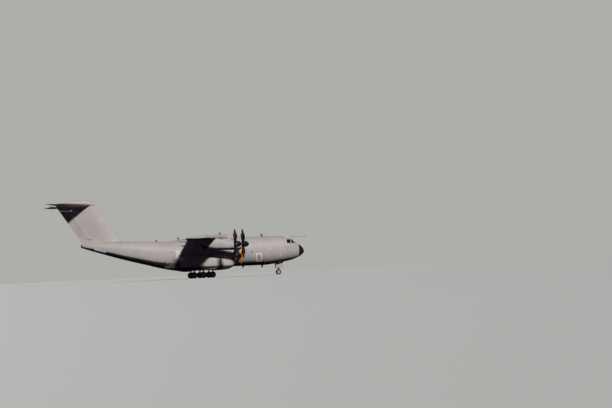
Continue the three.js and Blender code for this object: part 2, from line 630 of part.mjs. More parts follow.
for (const [sideName, side] of SIDES) {
  const core = (gap) => {
    const pivotAt = (y) => {
      const { lead, chord, thickness } = tailAt(y);
      return {
        d: lead + chord * ELEVATOR.hinge,
        place: at(lead + chord * ELEVATOR.hinge, side * y, TAILPLANE.level),
        radius: shareAt(ELEVATOR.hinge) * thickness / 2 * HINGE_ROUND + gap,
      };
    };
    const [low, high] = [ELEVATOR.inner - 2 * gap, ELEVATOR.outer + 2 * gap];
    const [inner, outer] = [pivotAt(low), pivotAt(high)];
    return planBlock([
      [inner.d, side * low], [outer.d, side * high],
      [BEYOND.rear, side * high], [BEYOND.rear, side * low],
    ], BEYOND.low, BEYOND.high).add(rod(inner.place, outer.place, inner.radius, outer.radius));
  };
  const [rest, elevator] = release(tailplane, core, SWING);
  tailplane = rest;
  addSolid(`elevator_${sideName}`, elevator, GREY);
}
addSolid('tailplane', tailplane, GREY);

const finRow = (h) => interpolate(FIN, h);
const finHalf = (h, fromTrail) => {
  const [, lead, trail] = finRow(h);
  const chord = trail - lead;
  return shareAt(1 - fromTrail / chord) * chord * FIN_RATIO / 2;
};
const finSolid = loft(FIN.map(([h, lead, trail]) => {
  const chord = trail - lead;
  return profilePoints(lead, chord, chord * FIN_RATIO, 0).map(([d, offset]) => at(d, offset, h));
})).subtract(hullCut).subtract(tailSolid(SEAM));
const rudderCore = (gap) => {
  const room = gap > 0 ? RUDDER.room : 0;
  const [low, high] = [RUDDER.low - room, RUDDER.high + room];
  const pivotAt = (h) => at(finRow(h)[2] - RUDDER.chord, 0, h);
  const radiusAt = (h) => finHalf(h, RUDDER.chord) * HINGE_ROUND + gap;
  const behind = sideBlock([
    [finRow(low)[2] - RUDDER.chord, low], [finRow(high)[2] - RUDDER.chord, high],
    [BEYOND.rear, high], [BEYOND.rear, low],
  ], -BEYOND.side, BEYOND.side);
  const slice = block([BEYOND.front, BEYOND.rear, BEYOND.side, low, high]);
  const nose = rod(pivotAt(low - 0.5), pivotAt(high + 0.5), radiusAt(low), radiusAt(high));
  return behind.add(nose.intersect(slice));
};
const [fin, rudder] = release(finSolid, rudderCore, SWING);
addSolid('fin', fin, GREY);
addSolid('rudder', rudder, GREY);

// A pair of tyres on one axle, turned about Y with the leg between them.
const twinWheels = ({ radius, width, offset, axle }) => {
  const [inner, outer] = [offset - width / 2, offset + width / 2];
  const { shoulder, tread, rim, dishRim, dish } = TYRE_SHAPE;
  const half = [
    [inner, axle], [inner, radius * shoulder], [inner + width * tread, radius],
    [outer - width * tread, radius], [outer, radius * shoulder], [outer, radius * rim],
    [outer - dish, radius * dishRim],
  ];
  const mirrored = half.map(([along, r]) => [-along, r]).reverse();
  return turned([[dish - outer, 0], ...mirrored, ...half, [outer - dish, 0]], 20, 'y');
};
const crossRod = (d, y, h, radius, halfWidth = 1) =>
  rod(at(d, y - halfWidth, h), at(d, y + halfWidth, h), radius);

// Main gear: three legs on one beam in each sponson, with a twin wheel set on each leg.
const MAIN_AXLE_LEVEL = MAIN_WHEEL.radius - CLEARANCE;
const mainWheels = twinWheels(MAIN_WHEEL);
for (const [sideName, side] of SIDES) {
  const pod = loft(SPONSON.map(([d, middle, halfWidth, low, high]) =>
    sectionRing(d, side * middle, halfWidth, low, high, SQUARENESS.podBelly, SQUARENESS.podTop, 16)));
  const [wellA, wellB] = [side * WELL.inner, side * WELL.outer].sort((p, q) => p - q);
  const well = box(WELL.front, WELL.rear, wellA, wellB, BEYOND.low, WELL.top);
  addSolid(`sponson_${sideName}`, pod.subtract(hullCut).subtract(well), GREY);

  const y = side * MAIN_WHEEL.y;
  const beam = block([WELL.front + GEAR_BEAM.endRoom, WELL.rear - GEAR_BEAM.endRoom,
    GEAR_BEAM.halfWidth, GEAR_BEAM.low, WELL.top - SEAM], y);
  const legs = MAIN_AXLES.map(([, d]) => union(
    rod(at(d, y, MAIN_LEG.top), at(d, y, MAIN_AXLE_LEVEL + MAIN_LEG.strutEnd),
      MAIN_LEG.radius, MAIN_LEG.endRadius, 12),
    rod(at(d, y, MAIN_AXLE_LEVEL + MAIN_LEG.pistonTop), at(d, y, MAIN_AXLE_LEVEL + MAIN_LEG.pistonEnd),
      MAIN_LEG.pistonRadius, MAIN_LEG.pistonRadius, 8),
    rod(at(d - MAIN_LEG.braceLead, y, MAIN_LEG.top), at(d, y, MAIN_LEG.braceLow),
      MAIN_LEG.braceRadius, MAIN_LEG.braceRadius, 8),
    crossRod(d, y, MAIN_AXLE_LEVEL, MAIN_LEG.eye, MAIN_LEG.eyeHalfWidth),
  ));
  const axleHoles = MAIN_AXLES.map(([, d]) =>
    crossRod(d, y, MAIN_AXLE_LEVEL, MAIN_WHEEL.axle + AXLE_ROOM));
  addSolid(`main_gear_legs_${sideName}`,
    union(beam, ...legs).subtract(union(...axleHoles)), LEG_WHITE);
  for (const [name, d] of MAIN_AXLES) {
    addSolid(`main_wheels_${name}_${sideName}`, mainWheels, TYRE, at(d, y, MAIN_AXLE_LEVEL));
  }
}

// Nose gear: a leg with its drag brace, the steered fork below it, and the twin wheels.
const NOSE_AXLE_LEVEL = NOSE_WHEEL.radius - CLEARANCE;
const noseD = NOSE_WHEEL.d;
const braceD = noseD - NOSE_BRACE.lead;
addSolid('nose_gear_leg', union(
  rod(at(noseD, 0, NOSE_BAY.top - SEAM), at(noseD, 0, NOSE_LEG.low), NOSE_LEG.radius),
  rod(at(braceD, 0, NOSE_BAY.top - NOSE_BRACE.drop), at(noseD, 0, NOSE_BRACE.low),
    NOSE_BRACE.radius, NOSE_BRACE.radius, 8),
  block([braceD - NOSE_BEAM.halfLength, braceD + NOSE_BEAM.halfLength, NOSE_BEAM.halfWidth,
    NOSE_BAY.top - NOSE_BEAM.height, NOSE_BAY.top - SEAM]),
), LEG_WHITE);
const collarTop = NOSE_LEG.low - SWING / 3;
const collarLow = collarTop - NOSE_COLLAR.height;
addSolid('nose_gear_fork', union(
  rod(at(noseD, 0, collarTop), at(noseD, 0, collarLow), NOSE_COLLAR.radius),
  rod(at(noseD, 0, collarLow + NOSE_COLLAR.height / 2), at(noseD, 0, NOSE_AXLE_LEVEL + NOSE_LEG.pistonEnd),
    NOSE_LEG.piston),
  crossRod(noseD, 0, NOSE_AXLE_LEVEL, NOSE_LEG.eye, NOSE_LEG.eyeHalfWidth),
).subtract(crossRod(noseD, 0, NOSE_AXLE_LEVEL, NOSE_WHEEL.axle + AXLE_ROOM)), LEG_WHITE);
addSolid('nose_wheels', twinWheels(NOSE_WHEEL), TYRE, at(noseD, 0, NOSE_AXLE_LEVEL));
for (const [sideName, side] of SIDES) {
  const halfThickness = NOSE_DOOR.thickness / 2;
  const open = block([NOSE_DOOR.front, NOSE_DOOR.rear, halfThickness, NOSE_DOOR.low, NOSE_DOOR.high],
    side * (NOSE_BAY.halfWidth + NOSE_DOOR.gap + halfThickness));
  addSolid(`nose_gear_door_${sideName}`, open.subtract(hullCut), GREY);
}

// Refuelling probe on a short fairing.
const probeEnd = PROBE.tip + PROBE_TIP.length;
addSolid('refuelling_probe', union(
  rod(at(PROBE.root, PROBE.y, PROBE.rootLevel),
    at(probeEnd - PROBE_TIP.overlap, PROBE.y, PROBE.tipLevel), PROBE.radius, PROBE.endRadius, 10),
  rod(at(probeEnd, PROBE.y, PROBE.tipLevel), at(PROBE.tip, PROBE.y, PROBE.tipLevel),
    PROBE_TIP.radius, PROBE_TIP.endRadius, 10),
  block([PROBE_FAIRING.front, PROBE_FAIRING.rear, PROBE_FAIRING.halfWidth, PROBE_FAIRING.low,
    PROBE_FAIRING.high], PROBE.y),
).subtract(hullCut), DARK_GREY);

export default root;
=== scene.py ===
import math
from types import SimpleNamespace as Sizes

import bpy
from mathutils import Matrix, Vector


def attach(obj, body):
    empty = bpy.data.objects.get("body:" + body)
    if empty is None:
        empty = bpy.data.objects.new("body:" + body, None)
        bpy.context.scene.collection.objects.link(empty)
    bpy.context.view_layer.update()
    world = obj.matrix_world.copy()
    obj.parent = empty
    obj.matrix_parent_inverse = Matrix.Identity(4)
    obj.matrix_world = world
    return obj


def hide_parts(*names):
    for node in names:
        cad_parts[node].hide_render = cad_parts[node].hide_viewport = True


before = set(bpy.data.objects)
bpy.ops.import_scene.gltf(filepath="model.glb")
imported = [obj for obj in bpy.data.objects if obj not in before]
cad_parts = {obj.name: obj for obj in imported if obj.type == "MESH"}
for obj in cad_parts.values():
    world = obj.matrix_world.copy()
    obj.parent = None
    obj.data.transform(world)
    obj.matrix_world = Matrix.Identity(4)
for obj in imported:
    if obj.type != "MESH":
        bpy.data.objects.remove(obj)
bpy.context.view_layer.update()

# Radome.
# The cone over the weather radar: a black composite moulding, screwed to the front frame of the fuselage.
# Thin metal strips on it lead lightning back to the skin, and its tip is round.

# The model is half the size of the aircraft. Every size in this file is in metres of the full-size aircraft:
# d is aft of the nose tip, y to the left and h above the underside of the middle fuselage.
SCALE = 0.5
MIDDLE = 22.35
CLEARANCE = 1.8

# Fuselage sections. Columns: d, keel h, crown h, half width, squareness of the belly.
HULL = [
    (0, 2.14, 2.14, 0, 2),
    (0.3, 1.62, 2.86, 0.62, 2),
    (1.03, 1.18, 3.46, 1.17, 2),
    (1.5, 0.98, 3.76, 1.45, 2),
    (2.4, 0.68, 4.58, 1.9, 2.1),
    (3.4, 0.48, 4.86, 2.27, 2.2),
    (5.0, 0.22, 4.98, 2.64, 2.3),
    (7.2, 0, 5.08, 2.82, 2.3),
    (20.5, 0, 5.08, 2.82, 2.3),
    (22.5, 0, 4.98, 2.82, 2.35),
    (24.45, 0.08, 4.89, 2.82, 2.8),
    (27.8, 0.9, 5.06, 2.74, 3.4),
    (31.3, 1.87, 5.24, 2.4, 3.4),
    (34.7, 2.92, 5.2, 1.86, 3),
    (38, 4.02, 4.98, 0.95, 2.4),
    (39.05, 4.4, 4.94, 0.35, 2),
]
HULL_POINTS = 72
CROWN_SQUARENESS = 2.3
RADOME_JOINT = 1.03
TIP_RINGS = 16
STRIPS = 8
STRIP_WIDTH, STRIP_HEIGHT = 0.025, 0.016
SEAM = 0.0006


def place(d, y, h):
    """A point of the model, in the frame's metres."""
    return Vector(((MIDDLE - d) * SCALE, y * SCALE, (h + CLEARANCE) * SCALE))


def between(table, position):
    """One row at any position in a table, on curves through its rows that never overshoot."""
    last = len(table) - 1
    i = next((k for k in range(1, last) if table[k][0] >= position), last)

    def secant(k, column):
        return (table[k + 1][column] - table[k][column]) / (table[k + 1][0] - table[k][0])

    def slope(k, column):
        if k in (0, last):
            return secant(min(k, last - 1), column)
        before, after = secant(k - 1, column), secant(k, column)
        return 0 if before * after <= 0 else 2 * before * after / (before + after)

    step = table[i][0] - table[i - 1][0]
    t = (position - table[i - 1][0]) / step
    row = []
    for column in range(len(table[0])):
        start, end = table[i - 1][column], table[i][column]
        leaving, arriving = slope(i - 1, column) * step, slope(i, column) * step
        row.append(
            start * (2 * t**3 - 3 * t**2 + 1)
            + leaving * (t**3 - 2 * t**2 + t)
            + end * (3 * t**2 - 2 * t**3)
            + arriving * (t**3 - t**2)
        )
    return row


def steps(start, end, size):
    """Even places from start to end, about size apart."""
    count = max(1, math.ceil(abs(end - start) / size))
    return [start + (end - start) * i / count for i in range(count + 1)]


def section(d, middle, half_width, low, high, belly, crown, points):
    """A rounded section across the aircraft, as square as asked below and above its middle."""
    ring = []
    for i in range(points):
        angle = math.tau * (i + 0.5) / points
        c, s = math.cos(angle), math.sin(angle)
        power = 2 / (belly if s < 0 else crown)
        y = middle + half_width * math.copysign(abs(c) ** power, c)
        h = (low + high) / 2 + (high - low) / 2 * math.copysign(abs(s) ** power, s)
        ring.append(place(d, y, h))
    return ring


def called(piece, name):
    piece.name = piece.data.name = name
    return piece


def select(*pieces):
    """Selects these pieces alone, and makes the first one active."""
    bpy.ops.object.select_all(action="DESELECT")
    for piece in pieces:
        piece.select_set(True)
    bpy.context.view_layer.objects.active = pieces[0]


def edit(piece):
    """Opens a piece in edit mode, all of it selected."""
    select(piece)
    bpy.ops.object.mode_set(mode="EDIT")
    bpy.ops.mesh.select_mode(type="FACE")
    bpy.ops.mesh.select_all(action="SELECT")


def close_edit():
    bpy.ops.object.mode_set(mode="OBJECT")


def loft(name, rings):
    """A closed skin through rings of points: a grid laid over them, wrapped round and filled at the ends."""
    around, along = len(rings[0]), len(rings) - 1
    bpy.ops.mesh.primitive_grid_add(x_subdivisions=around, y_subdivisions=along, size=2)
    piece = called(bpy.context.object, name)
    for vertex in piece.data.vertices:
        i = round((vertex.co.x + 1) / 2 * around)
        j = round((vertex.co.y + 1) / 2 * along)
        vertex.co = rings[j][i % around]
    edit(piece)
    bpy.ops.mesh.remove_doubles(threshold=1e-5)
    bpy.ops.mesh.fill_holes(sides=0)
    bpy.ops.mesh.normals_make_consistent(inside=False)
    close_edit()
    return piece


def joined(name, *pieces):
    select(*pieces)
    bpy.ops.object.join()
    return called(pieces[0], name)


def fit(piece, slot, *finishes, body="airframe", node=None, smooth=38):
    """Smooths a finished piece, gives it its finishes and fixes it to its body."""
    for finish in finishes:
        piece.data.materials.append(finish)
    select(piece)
    bpy.ops.object.shade_smooth_by_angle(angle=math.radians(smooth))
    # How far each point faces down, which places the painted shade of the airframe paints.
    below = piece.data.attributes.new("below", "FLOAT", "POINT")
    below.data.foreach_set("value", [-vertex.normal.z for vertex in piece.data.vertices])
    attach(piece, body)
    if node:
        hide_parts(node)


class Value:
    """A socket of a finish's nodes, so that sums on it read as Python and add Math nodes."""

    def __init__(self, finish, socket):
        self.finish = finish
        self.socket = socket

    def sum(self, operation, *values):
        return self.finish.node("ShaderNodeMath", {"operation": operation}, dict(enumerate(values)))

    def __add__(self, other):
        return self.sum("ADD", self, other)

    __radd__ = __add__

    def __sub__(self, other):
        return self.sum("SUBTRACT", self, other)

    def __rsub__(self, other):
        return self.sum("SUBTRACT", other, self)

    def __mul__(self, other):
        return self.sum("MULTIPLY", self, other)

    __rmul__ = __mul__

    def __gt__(self, other):
        return self.sum("GREATER_THAN", self, other)

    def __lt__(self, other):
        return self.sum("LESS_THAN", self, other)

    def __abs__(self):
        return self.sum("ABSOLUTE", self)

    def turn(self, across):
        """The angle of a point that lies this value up and another across."""
        return self.sum("ARCTAN2", self, across)

    def within(self, low, high):
        """1 between two values and 0 outside them."""
        return (self > low) * (self < high)

    def line(self, pitch, width, shift=0.0):
        """1 on thin lines a pitch apart and 0 between them."""
        off_centre = abs(self.sum("FRACT", self * (1 / pitch) + shift) - 0.5)
        return off_centre < width / pitch / 2


class Finish:
    """One surface finish, as a node tree around its shader."""

    def __init__(self, name, **constants):
        self.material = bpy.data.materials.new(name)
        self.material.use_nodes = True
        self.tree = self.material.node_tree
        self.shader = self.tree.nodes["Principled BSDF"]
        for socket, value in constants.items():
            self.shader.inputs[socket.replace("_", " ")].default_value = value
        self.position = self.node("ShaderNodeTexCoord", out="Object")
        self.x, self.y, self.z = (
            self.node("ShaderNodeSeparateXYZ", sockets={"Vector": self.position}, out=axis) for axis in "XYZ"
        )

    def node(self, kind, settings=None, sockets=None, out=0):
        made = self.tree.nodes.new(kind)
        for setting, value in (settings or {}).items():
            setattr(made, setting, value)
        for socket, value in (sockets or {}).items():
            if isinstance(value, Value):
                self.tree.links.new(value.socket, made.inputs[socket])
            else:
                made.inputs[socket].default_value = value
        return Value(self, made.outputs[out])

    def noise(self, scale, detail=3.0, stretch=(1, 1, 1)):
        moved = self.node("ShaderNodeMapping", sockets={"Vector": self.position, "Scale": stretch})
        sockets = {"Vector": moved, "Scale": scale, "Detail": detail}
        return self.node("ShaderNodeTexNoise", sockets=sockets, out="Fac")

    def fade(self, value, start, end, low, high, **settings):
        """Goes from low to high as the value goes from start to end."""
        return self.node("ShaderNodeMapRange", settings, {
            "Value": value, "From Min": start, "From Max": end, "To Min": low, "To Max": high,
        })

    def ramp(self, value, stops):
        """A colour that runs through the stops, each a place and a colour, as the value goes from 0 to 1."""
        made = self.tree.nodes.new("ShaderNodeValToRGB")
        elements = made.color_ramp.elements
        while len(elements) < len(stops):
            elements.new(0.5)
        for element, (at, color) in zip(elements, stops):
            element.position = at
            element.color = (*color, 1)
        self.tree.links.new(value.socket, made.inputs[0])
        return Value(self, made.outputs[0])

    def mix(self, share, first, second):
        """First colour where the share is 0, second where it is 1."""
        made = self.tree.nodes.new("ShaderNodeMix")
        made.data_type = "RGBA"
        for socket, value in ((0, share), (6, first), (7, second)):
            if isinstance(value, Value):
                self.tree.links.new(value.socket, made.inputs[socket])
            else:
                made.inputs[socket].default_value = value if socket == 0 else (*value, 1)
        return Value(self, made.outputs[2])

    def wear(self, **sockets):
        """Links values or colours to the shader, and height to its bump."""
        for socket, value in sockets.items():
            if socket == "height":
                bump = {"Height": value, "Strength": 1.0, "Distance": 0.001}
                socket, value = "Normal", self.node("ShaderNodeBump", sockets=bump)
            self.tree.links.new(value.socket, self.shader.inputs[socket.replace("_", " ")])
        return self.material

    def plain(self, tone, dark, light, low=0.3, high=0.7, **sockets):
        """Links a colour that goes from dark to light with a tone, and the other sockets as given."""
        return self.wear(Base_Color=self.ramp(tone, [(low, dark), (high, light)]), **sockets)


def tint(color, share):
    return tuple(min(1, c * share) for c in color)


def hull_row(d):
    """The fuselage's section row at d. The square root of d as the variable makes its tip round."""
    return between([(math.sqrt(row[0]), *row[1:]) for row in HULL], math.sqrt(d))


def hull(name, places, inset=0.0):
    """The fuselage's shape through places along it, smaller by an inset."""
    rings = []
    for d in places:
        _, keel, crown, half_width, belly = hull_row(d)
        rings.append(section(d, 0, half_width - inset, keel + inset, crown - inset, belly,
                             CROWN_SQUARENESS, HULL_POINTS))
    return loft(name, rings)


def strip(angle):
    """A thin flat strip laid on the radome, at an angle about its middle."""
    outward = Vector((0, math.cos(angle), math.sin(angle)))
    across = Vector((0, -math.sin(angle), math.cos(angle)))
    rings = []
    for d in steps(0.35, 1.0, 0.08):
        _, keel, crown, half_width, belly = hull_row(d)
        power = 2 / (belly if outward.z < 0 else CROWN_SQUARENESS)
        y = half_width * math.copysign(abs(outward.y) ** power, outward.y)
        h = (keel + crown) / 2 + (crown - keel) / 2 * math.copysign(abs(outward.z) ** power, outward.z)
        rings.append([
            place(d, y, h) + (across * a * STRIP_WIDTH / 2 + outward * b * STRIP_HEIGHT / 2) * SCALE
            for a, b in ((-1, -1), (1, -1), (0.7, 1), (-0.7, 1))
        ])
    return loft("strip", rings)


def bare_metal(name, color, roughness):
    finish = Finish(name, Metallic=1.0)
    smear = finish.noise(9, 5, (1, 1, 3))
    return finish.plain(smear, color, tint(color, 1.15),
                        Roughness=roughness * (0.7 + 0.6 * smear), height=smear * 0.3)


finish = Finish("radome_black", Specular_IOR_Level=0.25)
cloud, dust = finish.noise(0.9, 4), finish.noise(14, 5, (1, 1, 0.4))
radome_paint = finish.plain(cloud, (0.008, 0.007, 0.011), (0.016, 0.014, 0.02),
                            Roughness=0.34 + 0.2 * cloud + 0.1 * dust, height=dust * 0.4)
strip_metal = bare_metal("strip_metal", (0.42, 0.41, 0.4), 0.35)
radome = hull("radome_shell", [RADOME_JOINT * (i / TIP_RINGS) ** 2 for i in range(TIP_RINGS + 1)])
fit(radome, "radome_black", radome_paint, node="radome")
strips = [strip(math.tau * turn / STRIPS) for turn in range(STRIPS)]
fit(joined("lightning_strips", *strips), "radome_black", strip_metal)

# Nose barrel.
# The front of the pressure cabin, riveted aluminium skin on frames, painted matte warm grey. It holds the
# cockpit panes, the crew door on its left and the walls of the nose wheel bay, and ends at a frame joint.
WALL = 0.16
NOSE_JOINT = 7.2
NOSE_BULKHEAD = 1.25
# Cockpit panes, each side. Columns: low y, high y, front d, rear d, low h, high h.
PANES = [
    (0.07, 0.86, 1.2, 2.42, 3.66, 4.34),
    (1, 3, 1.5, 2.42, 3.62, 4.3),
    (1, 3, 2.54, 3.25, 3.62, 4.3),
]
# The crew door's opening, by its front and rear d, low and high h.
CREW_DOOR = (5.65, 6.6, 0.88, 2.75)
SWING = 0.024
NOSE_BAY = Sizes(front=3.75, rear=5.3, half_width=0.46, top=0.95, wall=0.1)
BEYOND = 12
GREY = (0.447, 0.403, 0.374)
PALE_GREY = (0.66, 0.6, 0.58)
DARK_GRIME = (0.2, 0.18, 0.17)
# Near black with a purple cast, for painted shade and painted shadow under the aircraft.
PAINTED_SHADE = (0.014, 0.011, 0.016)
SOOT = (0.03, 0.027, 0.025)


def block(d0, d1, y0, y1, h0, h1, rounding=0.0):
    """A box between two d, two y and two h, with its edges rounded if asked."""
    bpy.ops.mesh.primitive_cube_add(size=1)
    piece = called(bpy.context.object, "block")
    low, high = place(d1, min(y0, y1), h0), place(d0, max(y0, y1), h1)
    for vertex in piece.data.vertices:
        vertex.co = [low[k] if vertex.co[k] < 0 else high[k] for k in range(3)]
    if rounding:
        edit(piece)
        bpy.ops.mesh.bevel(offset=rounding * SCALE, segments=4, affect="EDGES")
        close_edit()
    return piece


def carve(piece, *tools, operation="DIFFERENCE"):
    """Cuts a piece with tools, joins them to it, or keeps what they share, and removes the tools."""
    for tool in tools:
        modifier = piece.modifiers.new("carve", "BOOLEAN")
        modifier.operation = operation
        modifier.solver = "MANIFOLD"
        modifier.object = tool
        bpy.context.view_layer.objects.active = piece
        bpy.ops.object.modifier_apply(modifier=modifier.name)
        bpy.data.objects.remove(tool)
        if None in piece.data.materials[:]:
            piece.data.materials.clear()
    return piece


def shared(piece, tool):
    return carve(piece, tool, operation="INTERSECT")


def welded(piece, *tools):
    return carve(piece, *tools, operation="UNION")


def pane_blocks(margin, rounding):
    """A rounded block through the skin at each pane, smaller or larger by a margin."""
    return [
        block(front - margin, rear + margin, side * (inner - margin), side * (outer + margin),
              low - margin, high + margin, rounding)
        for side in (1, -1) for inner, outer, front, rear, low, high in PANES
    ]


def grown(sizes, margin):
    front, rear, low, high = sizes
    return front - margin, rear + margin, low - margin, high + margin


def opening(sizes, side, margin=0.0, rounding=0.0):
    """A block through one side of the fuselage at a rectangle of d and h, larger by a margin."""
    front, rear, low, high = grown(sizes, margin)
    return block(front, rear, side, BEYOND * side, low, high, rounding)


def wall(name, outside, inside):
    """A hollow length of the fuselage, between the places given for its outside and its inside."""
    return carve(hull(name, steps(*outside)), hull("bore", steps(*inside), WALL))


def coat(piece, first, second, choose):
    """Two finishes, the second on the faces that a test on their centre and normal chooses."""
    piece.data.materials.append(first)
    piece.data.materials.append(second)
    for face in piece.data.polygons:
        if choose(face.center, face.normal):
            face.material_index = 1
    return piece


def facing_in(centre, normal):
    """True for the inside wall of the fuselage."""
    _, keel, crown, _, _ = hull_row(MIDDLE - centre.x / SCALE)
    axis = place(0, 0, (keel + crown) / 2)
    return (normal.y * centre.y + normal.z * (centre.z - axis.z)) < 0


def fit_wall(piece, paint, node, body="airframe"):
    """Paints a wall of the cabin outside and in, and fits it."""
    fit(coat(piece, paint, inside_paint, facing_in), "airframe_paint", body=body, node=node)


def round_hull(finish):
    """Distance along the fuselage, and distance round it."""
    return finish.x, (finish.z - place(0, 0, 2.5).z).turn(finish.y) * 1.4


def airframe_paint(name, frames=(0.53, 1.06), axes=round_hull, marks=None, soot=None, painted_shade=None):
    """Matte grey paint with panel joints, rivet rows and washed-down dirt. Soot, painted shade that starts at a
    share of facing down, and marks come on top where asked."""
    finish = Finish(name)
    along, across = axes(finish)
    cloud = finish.noise(0.35, 4)
    patch = finish.noise(1.7, 3)
    streak = finish.noise(3.2, 4, (1, 1, 0.12))
    grain = finish.noise(60, 2)
    joints = along.line(frames[0] * 2, 0.008) + across.line(frames[1], 0.008, 0.31) * 0.8
    rivets = along.line(frames[0], 0.02) * across.line(0.045, 0.012)
    rivets = rivets + across.line(frames[1], 0.02, 0.31) * along.line(0.045, 0.012)
    color = finish.ramp(cloud, [(0.3, tint(GREY, 0.93)), (0.7, tint(GREY, 1.06))])
    color = finish.mix((patch - 0.42) * 0.5, color, PALE_GREY)
    color = finish.mix((streak - 0.5) * 0.42, color, DARK_GRIME)
    color = finish.mix(joints * 0.45, color, DARK_GRIME)
    if soot:
        color = finish.mix(soot(finish), color, SOOT)
    if painted_shade:
        start = painted_shade(finish) if callable(painted_shade) else painted_shade
        # Painted shade: faces that look down are darkened nearly to black, as the shade under the aircraft.
        below = finish.node("ShaderNodeAttribute", {"attribute_name": "below"}, out="Fac")
        below = below + (streak - 0.5) * 0.12
        spread = finish.fade(below, start, start + 0.2, 0.0, 0.96, interpolation_type="SMOOTHSTEP")
        color = finish.mix(spread, color, PAINTED_SHADE)
    if marks:
        color = marks(finish, color)
    return finish.wear(Base_Color=color, Roughness=0.5 + 0.14 * cloud + 0.06 * grain,
                       height=grain * 0.25 - joints * 2.0 - rivets * 0.7)


def nose_marks(finish, color):
    """Bare pale caps round the ports and vents on the nose."""
    for d, h, radius in ((6.4, 2.8, 0.1), (4.5, 1.6, 0.12), (4.5, 0.4, 0.1)):
        at = place(d, 0, h)
        along, up = finish.x - at.x, finish.z - at.z
        color = finish.mix(along * along + up * up < (radius * SCALE) ** 2, color, (0.75, 0.72, 0.68))
    return color


def bay_block(room, top):
    """The nose wheel bay as a block, larger by a room on its sides and up to a top."""
    return block(NOSE_BAY.front - room, NOSE_BAY.rear + room, -NOSE_BAY.half_width - room,
                 NOSE_BAY.half_width + room, -1, top)


# The nose's faces that look down get painted shade.
nose_paint = airframe_paint("nose_paint", marks=nose_marks, painted_shade=0.66)
finish = Finish("cabin_paint")
scuff = finish.noise(5, 5, (0.4, 1, 1))
inside_paint = finish.plain(scuff, (0.36, 0.4, 0.35), (0.46, 0.5, 0.44), 0.35, 0.65,
                            Roughness=0.45 + 0.25 * scuff, height=scuff * 0.3)
nose = wall("nose_skin", (RADOME_JOINT + SEAM, NOSE_JOINT - SEAM, 0.12), (NOSE_BULKHEAD, NOSE_JOINT + 0.5, 0.25))
bay = bay_block(NOSE_BAY.wall, NOSE_BAY.top + NOSE_BAY.wall)
welded(nose, shared(bay, hull("outer", steps(2, NOSE_JOINT, 0.12))))
carve(nose, bay_block(0, NOSE_BAY.top), *pane_blocks(0, 0.06), opening(CREW_DOOR, 1, SWING / 2))
fit_wall(nose, nose_paint, "fuselage_nose")

# Cockpit panes.
# Dark tinted glass in layers, each pane bedded in a black rubber seal in its opening, a little below the skin.
GLASS_DEPTH = 0.035
GLASS_THICKNESS = 0.05


def dark_glass(name):
    finish = Finish(name, Coat_Weight=1.0, Coat_Roughness=0.02)
    smear = finish.noise(6, 3)
    return finish.plain(smear, (0.006, 0.008, 0.01), (0.012, 0.015, 0.018),
                        Roughness=0.05 + 0.05 * smear, Alpha=0.86 + 0.06 * smear)


def rubber(name):
    finish = Finish(name)
    speck = finish.noise(50, 4)
    return finish.plain(speck, (0.012, 0.012, 0.013), (0.024, 0.024, 0.026),
                        Roughness=0.65 + 0.25 * speck, height=speck * 0.6)


def pane_layer(name, depth, thickness, margin):
    """What the pane blocks keep of a thin layer of the fuselage's shape."""
    layers = []
    for tool in pane_blocks(margin, 0.06 + margin):
        layer = hull("layer", steps(1.26, 4.2, 0.12), depth)
        carve(layer, hull("under", steps(1.2, 4.4, 0.12), depth + thickness))
        layers.append(shared(layer, tool))
    return joined(name, *layers)


glass = dark_glass("cockpit_glass")
black_rubber = rubber("black_rubber")
fit(pane_layer("cockpit_panes", GLASS_DEPTH, GLASS_THICKNESS, -0.03), "glazing", glass, node="cockpit_glazing")
seals = pane_layer("pane_seals", 0.012, 0.12, -0.002)
fit(carve(seals, *pane_blocks(-0.035, 0.03)), "glazing", black_rubber)

# Crew door.
# A door in the left of the nose barrel, hinged along its lower edge. It swings out and down, and the
# folding treads and hand rails on its inner side make it the way up from the ground.
TREAD = Sizes(levels=(1.25, 1.62, 1.99, 2.36), depth=0.2, thickness=0.035, front=5.78, rear=6.47)
RAIL_RADIUS = 0.018


def ring(centre, axis, radius, sides, along=0.0):
    """Places round an axis. The radius and the way along the axis are in the frame's metres."""
    across = axis.cross(Vector((0, 0, 1)) if abs(axis.z) < 0.9 else Vector((1, 0, 0))).normalized()
    upright = axis.cross(across)
    turns = [math.tau * i / sides for i in range(sides)]
    return [centre + (axis * along + (across * math.cos(turn) + upright * math.sin(turn)) * radius) for turn in turns]


def rod(name, start, end, radius, end_radius=None, sides=20):
    """A round bar between two places, straight or tapered, with its ends chamfered."""
    axis = (end - start).normalized()
    first, last = radius * SCALE, (radius if end_radius is None else end_radius) * SCALE
    chamfer = min(first, last) * 0.15
    outline = [(start, first - chamfer), (start + axis * chamfer, first),
               (end - axis * chamfer, last), (end, last - chamfer)]
    return loft(name, [ring(centre, axis, r, sides) for centre, r in outline])


def pin(d, y, h, half, radius, sides=20):
    """A round bar across the aircraft, reaching a half to each side of y."""
    return rod("pin", place(d, y - half, h), place(d, y + half, h), radius, sides=sides)


def pipe(name, points, radius, sides=10):
    """A bent tube through places."""
    return joined(name, *(rod(name, a, b, radius, sides=sides) for a, b in zip(points, points[1:])))


def skin_patch(name, sizes, side, proud, depth, rounding):
    """A thin plate with round corners that follows the skin, from proud of it to a depth below it."""
    front, rear, _, _ = sizes
    plate = hull(name, steps(front - 0.2, rear + 0.2, 0.1), -proud)
    carve(plate, hull("under", steps(front - 0.4, rear + 0.4, 0.1), depth))
    return shared(plate, opening(sizes, side, 0, rounding))


def inner_wall_at(d, h):
    """How far the inner wall of the fuselage is from the centre line at one place."""
    _, keel, crown, half_width, belly = hull_row(d)
    keel, crown, half_width = keel + WALL, crown - WALL, half_width - WALL
    rise = (h - (keel + crown) / 2) / ((crown - keel) / 2)
    power = belly if rise < 0 else CROWN_SQUARENESS
    return half_width * max(0, 1 - abs(rise) ** power) ** (1 / power)


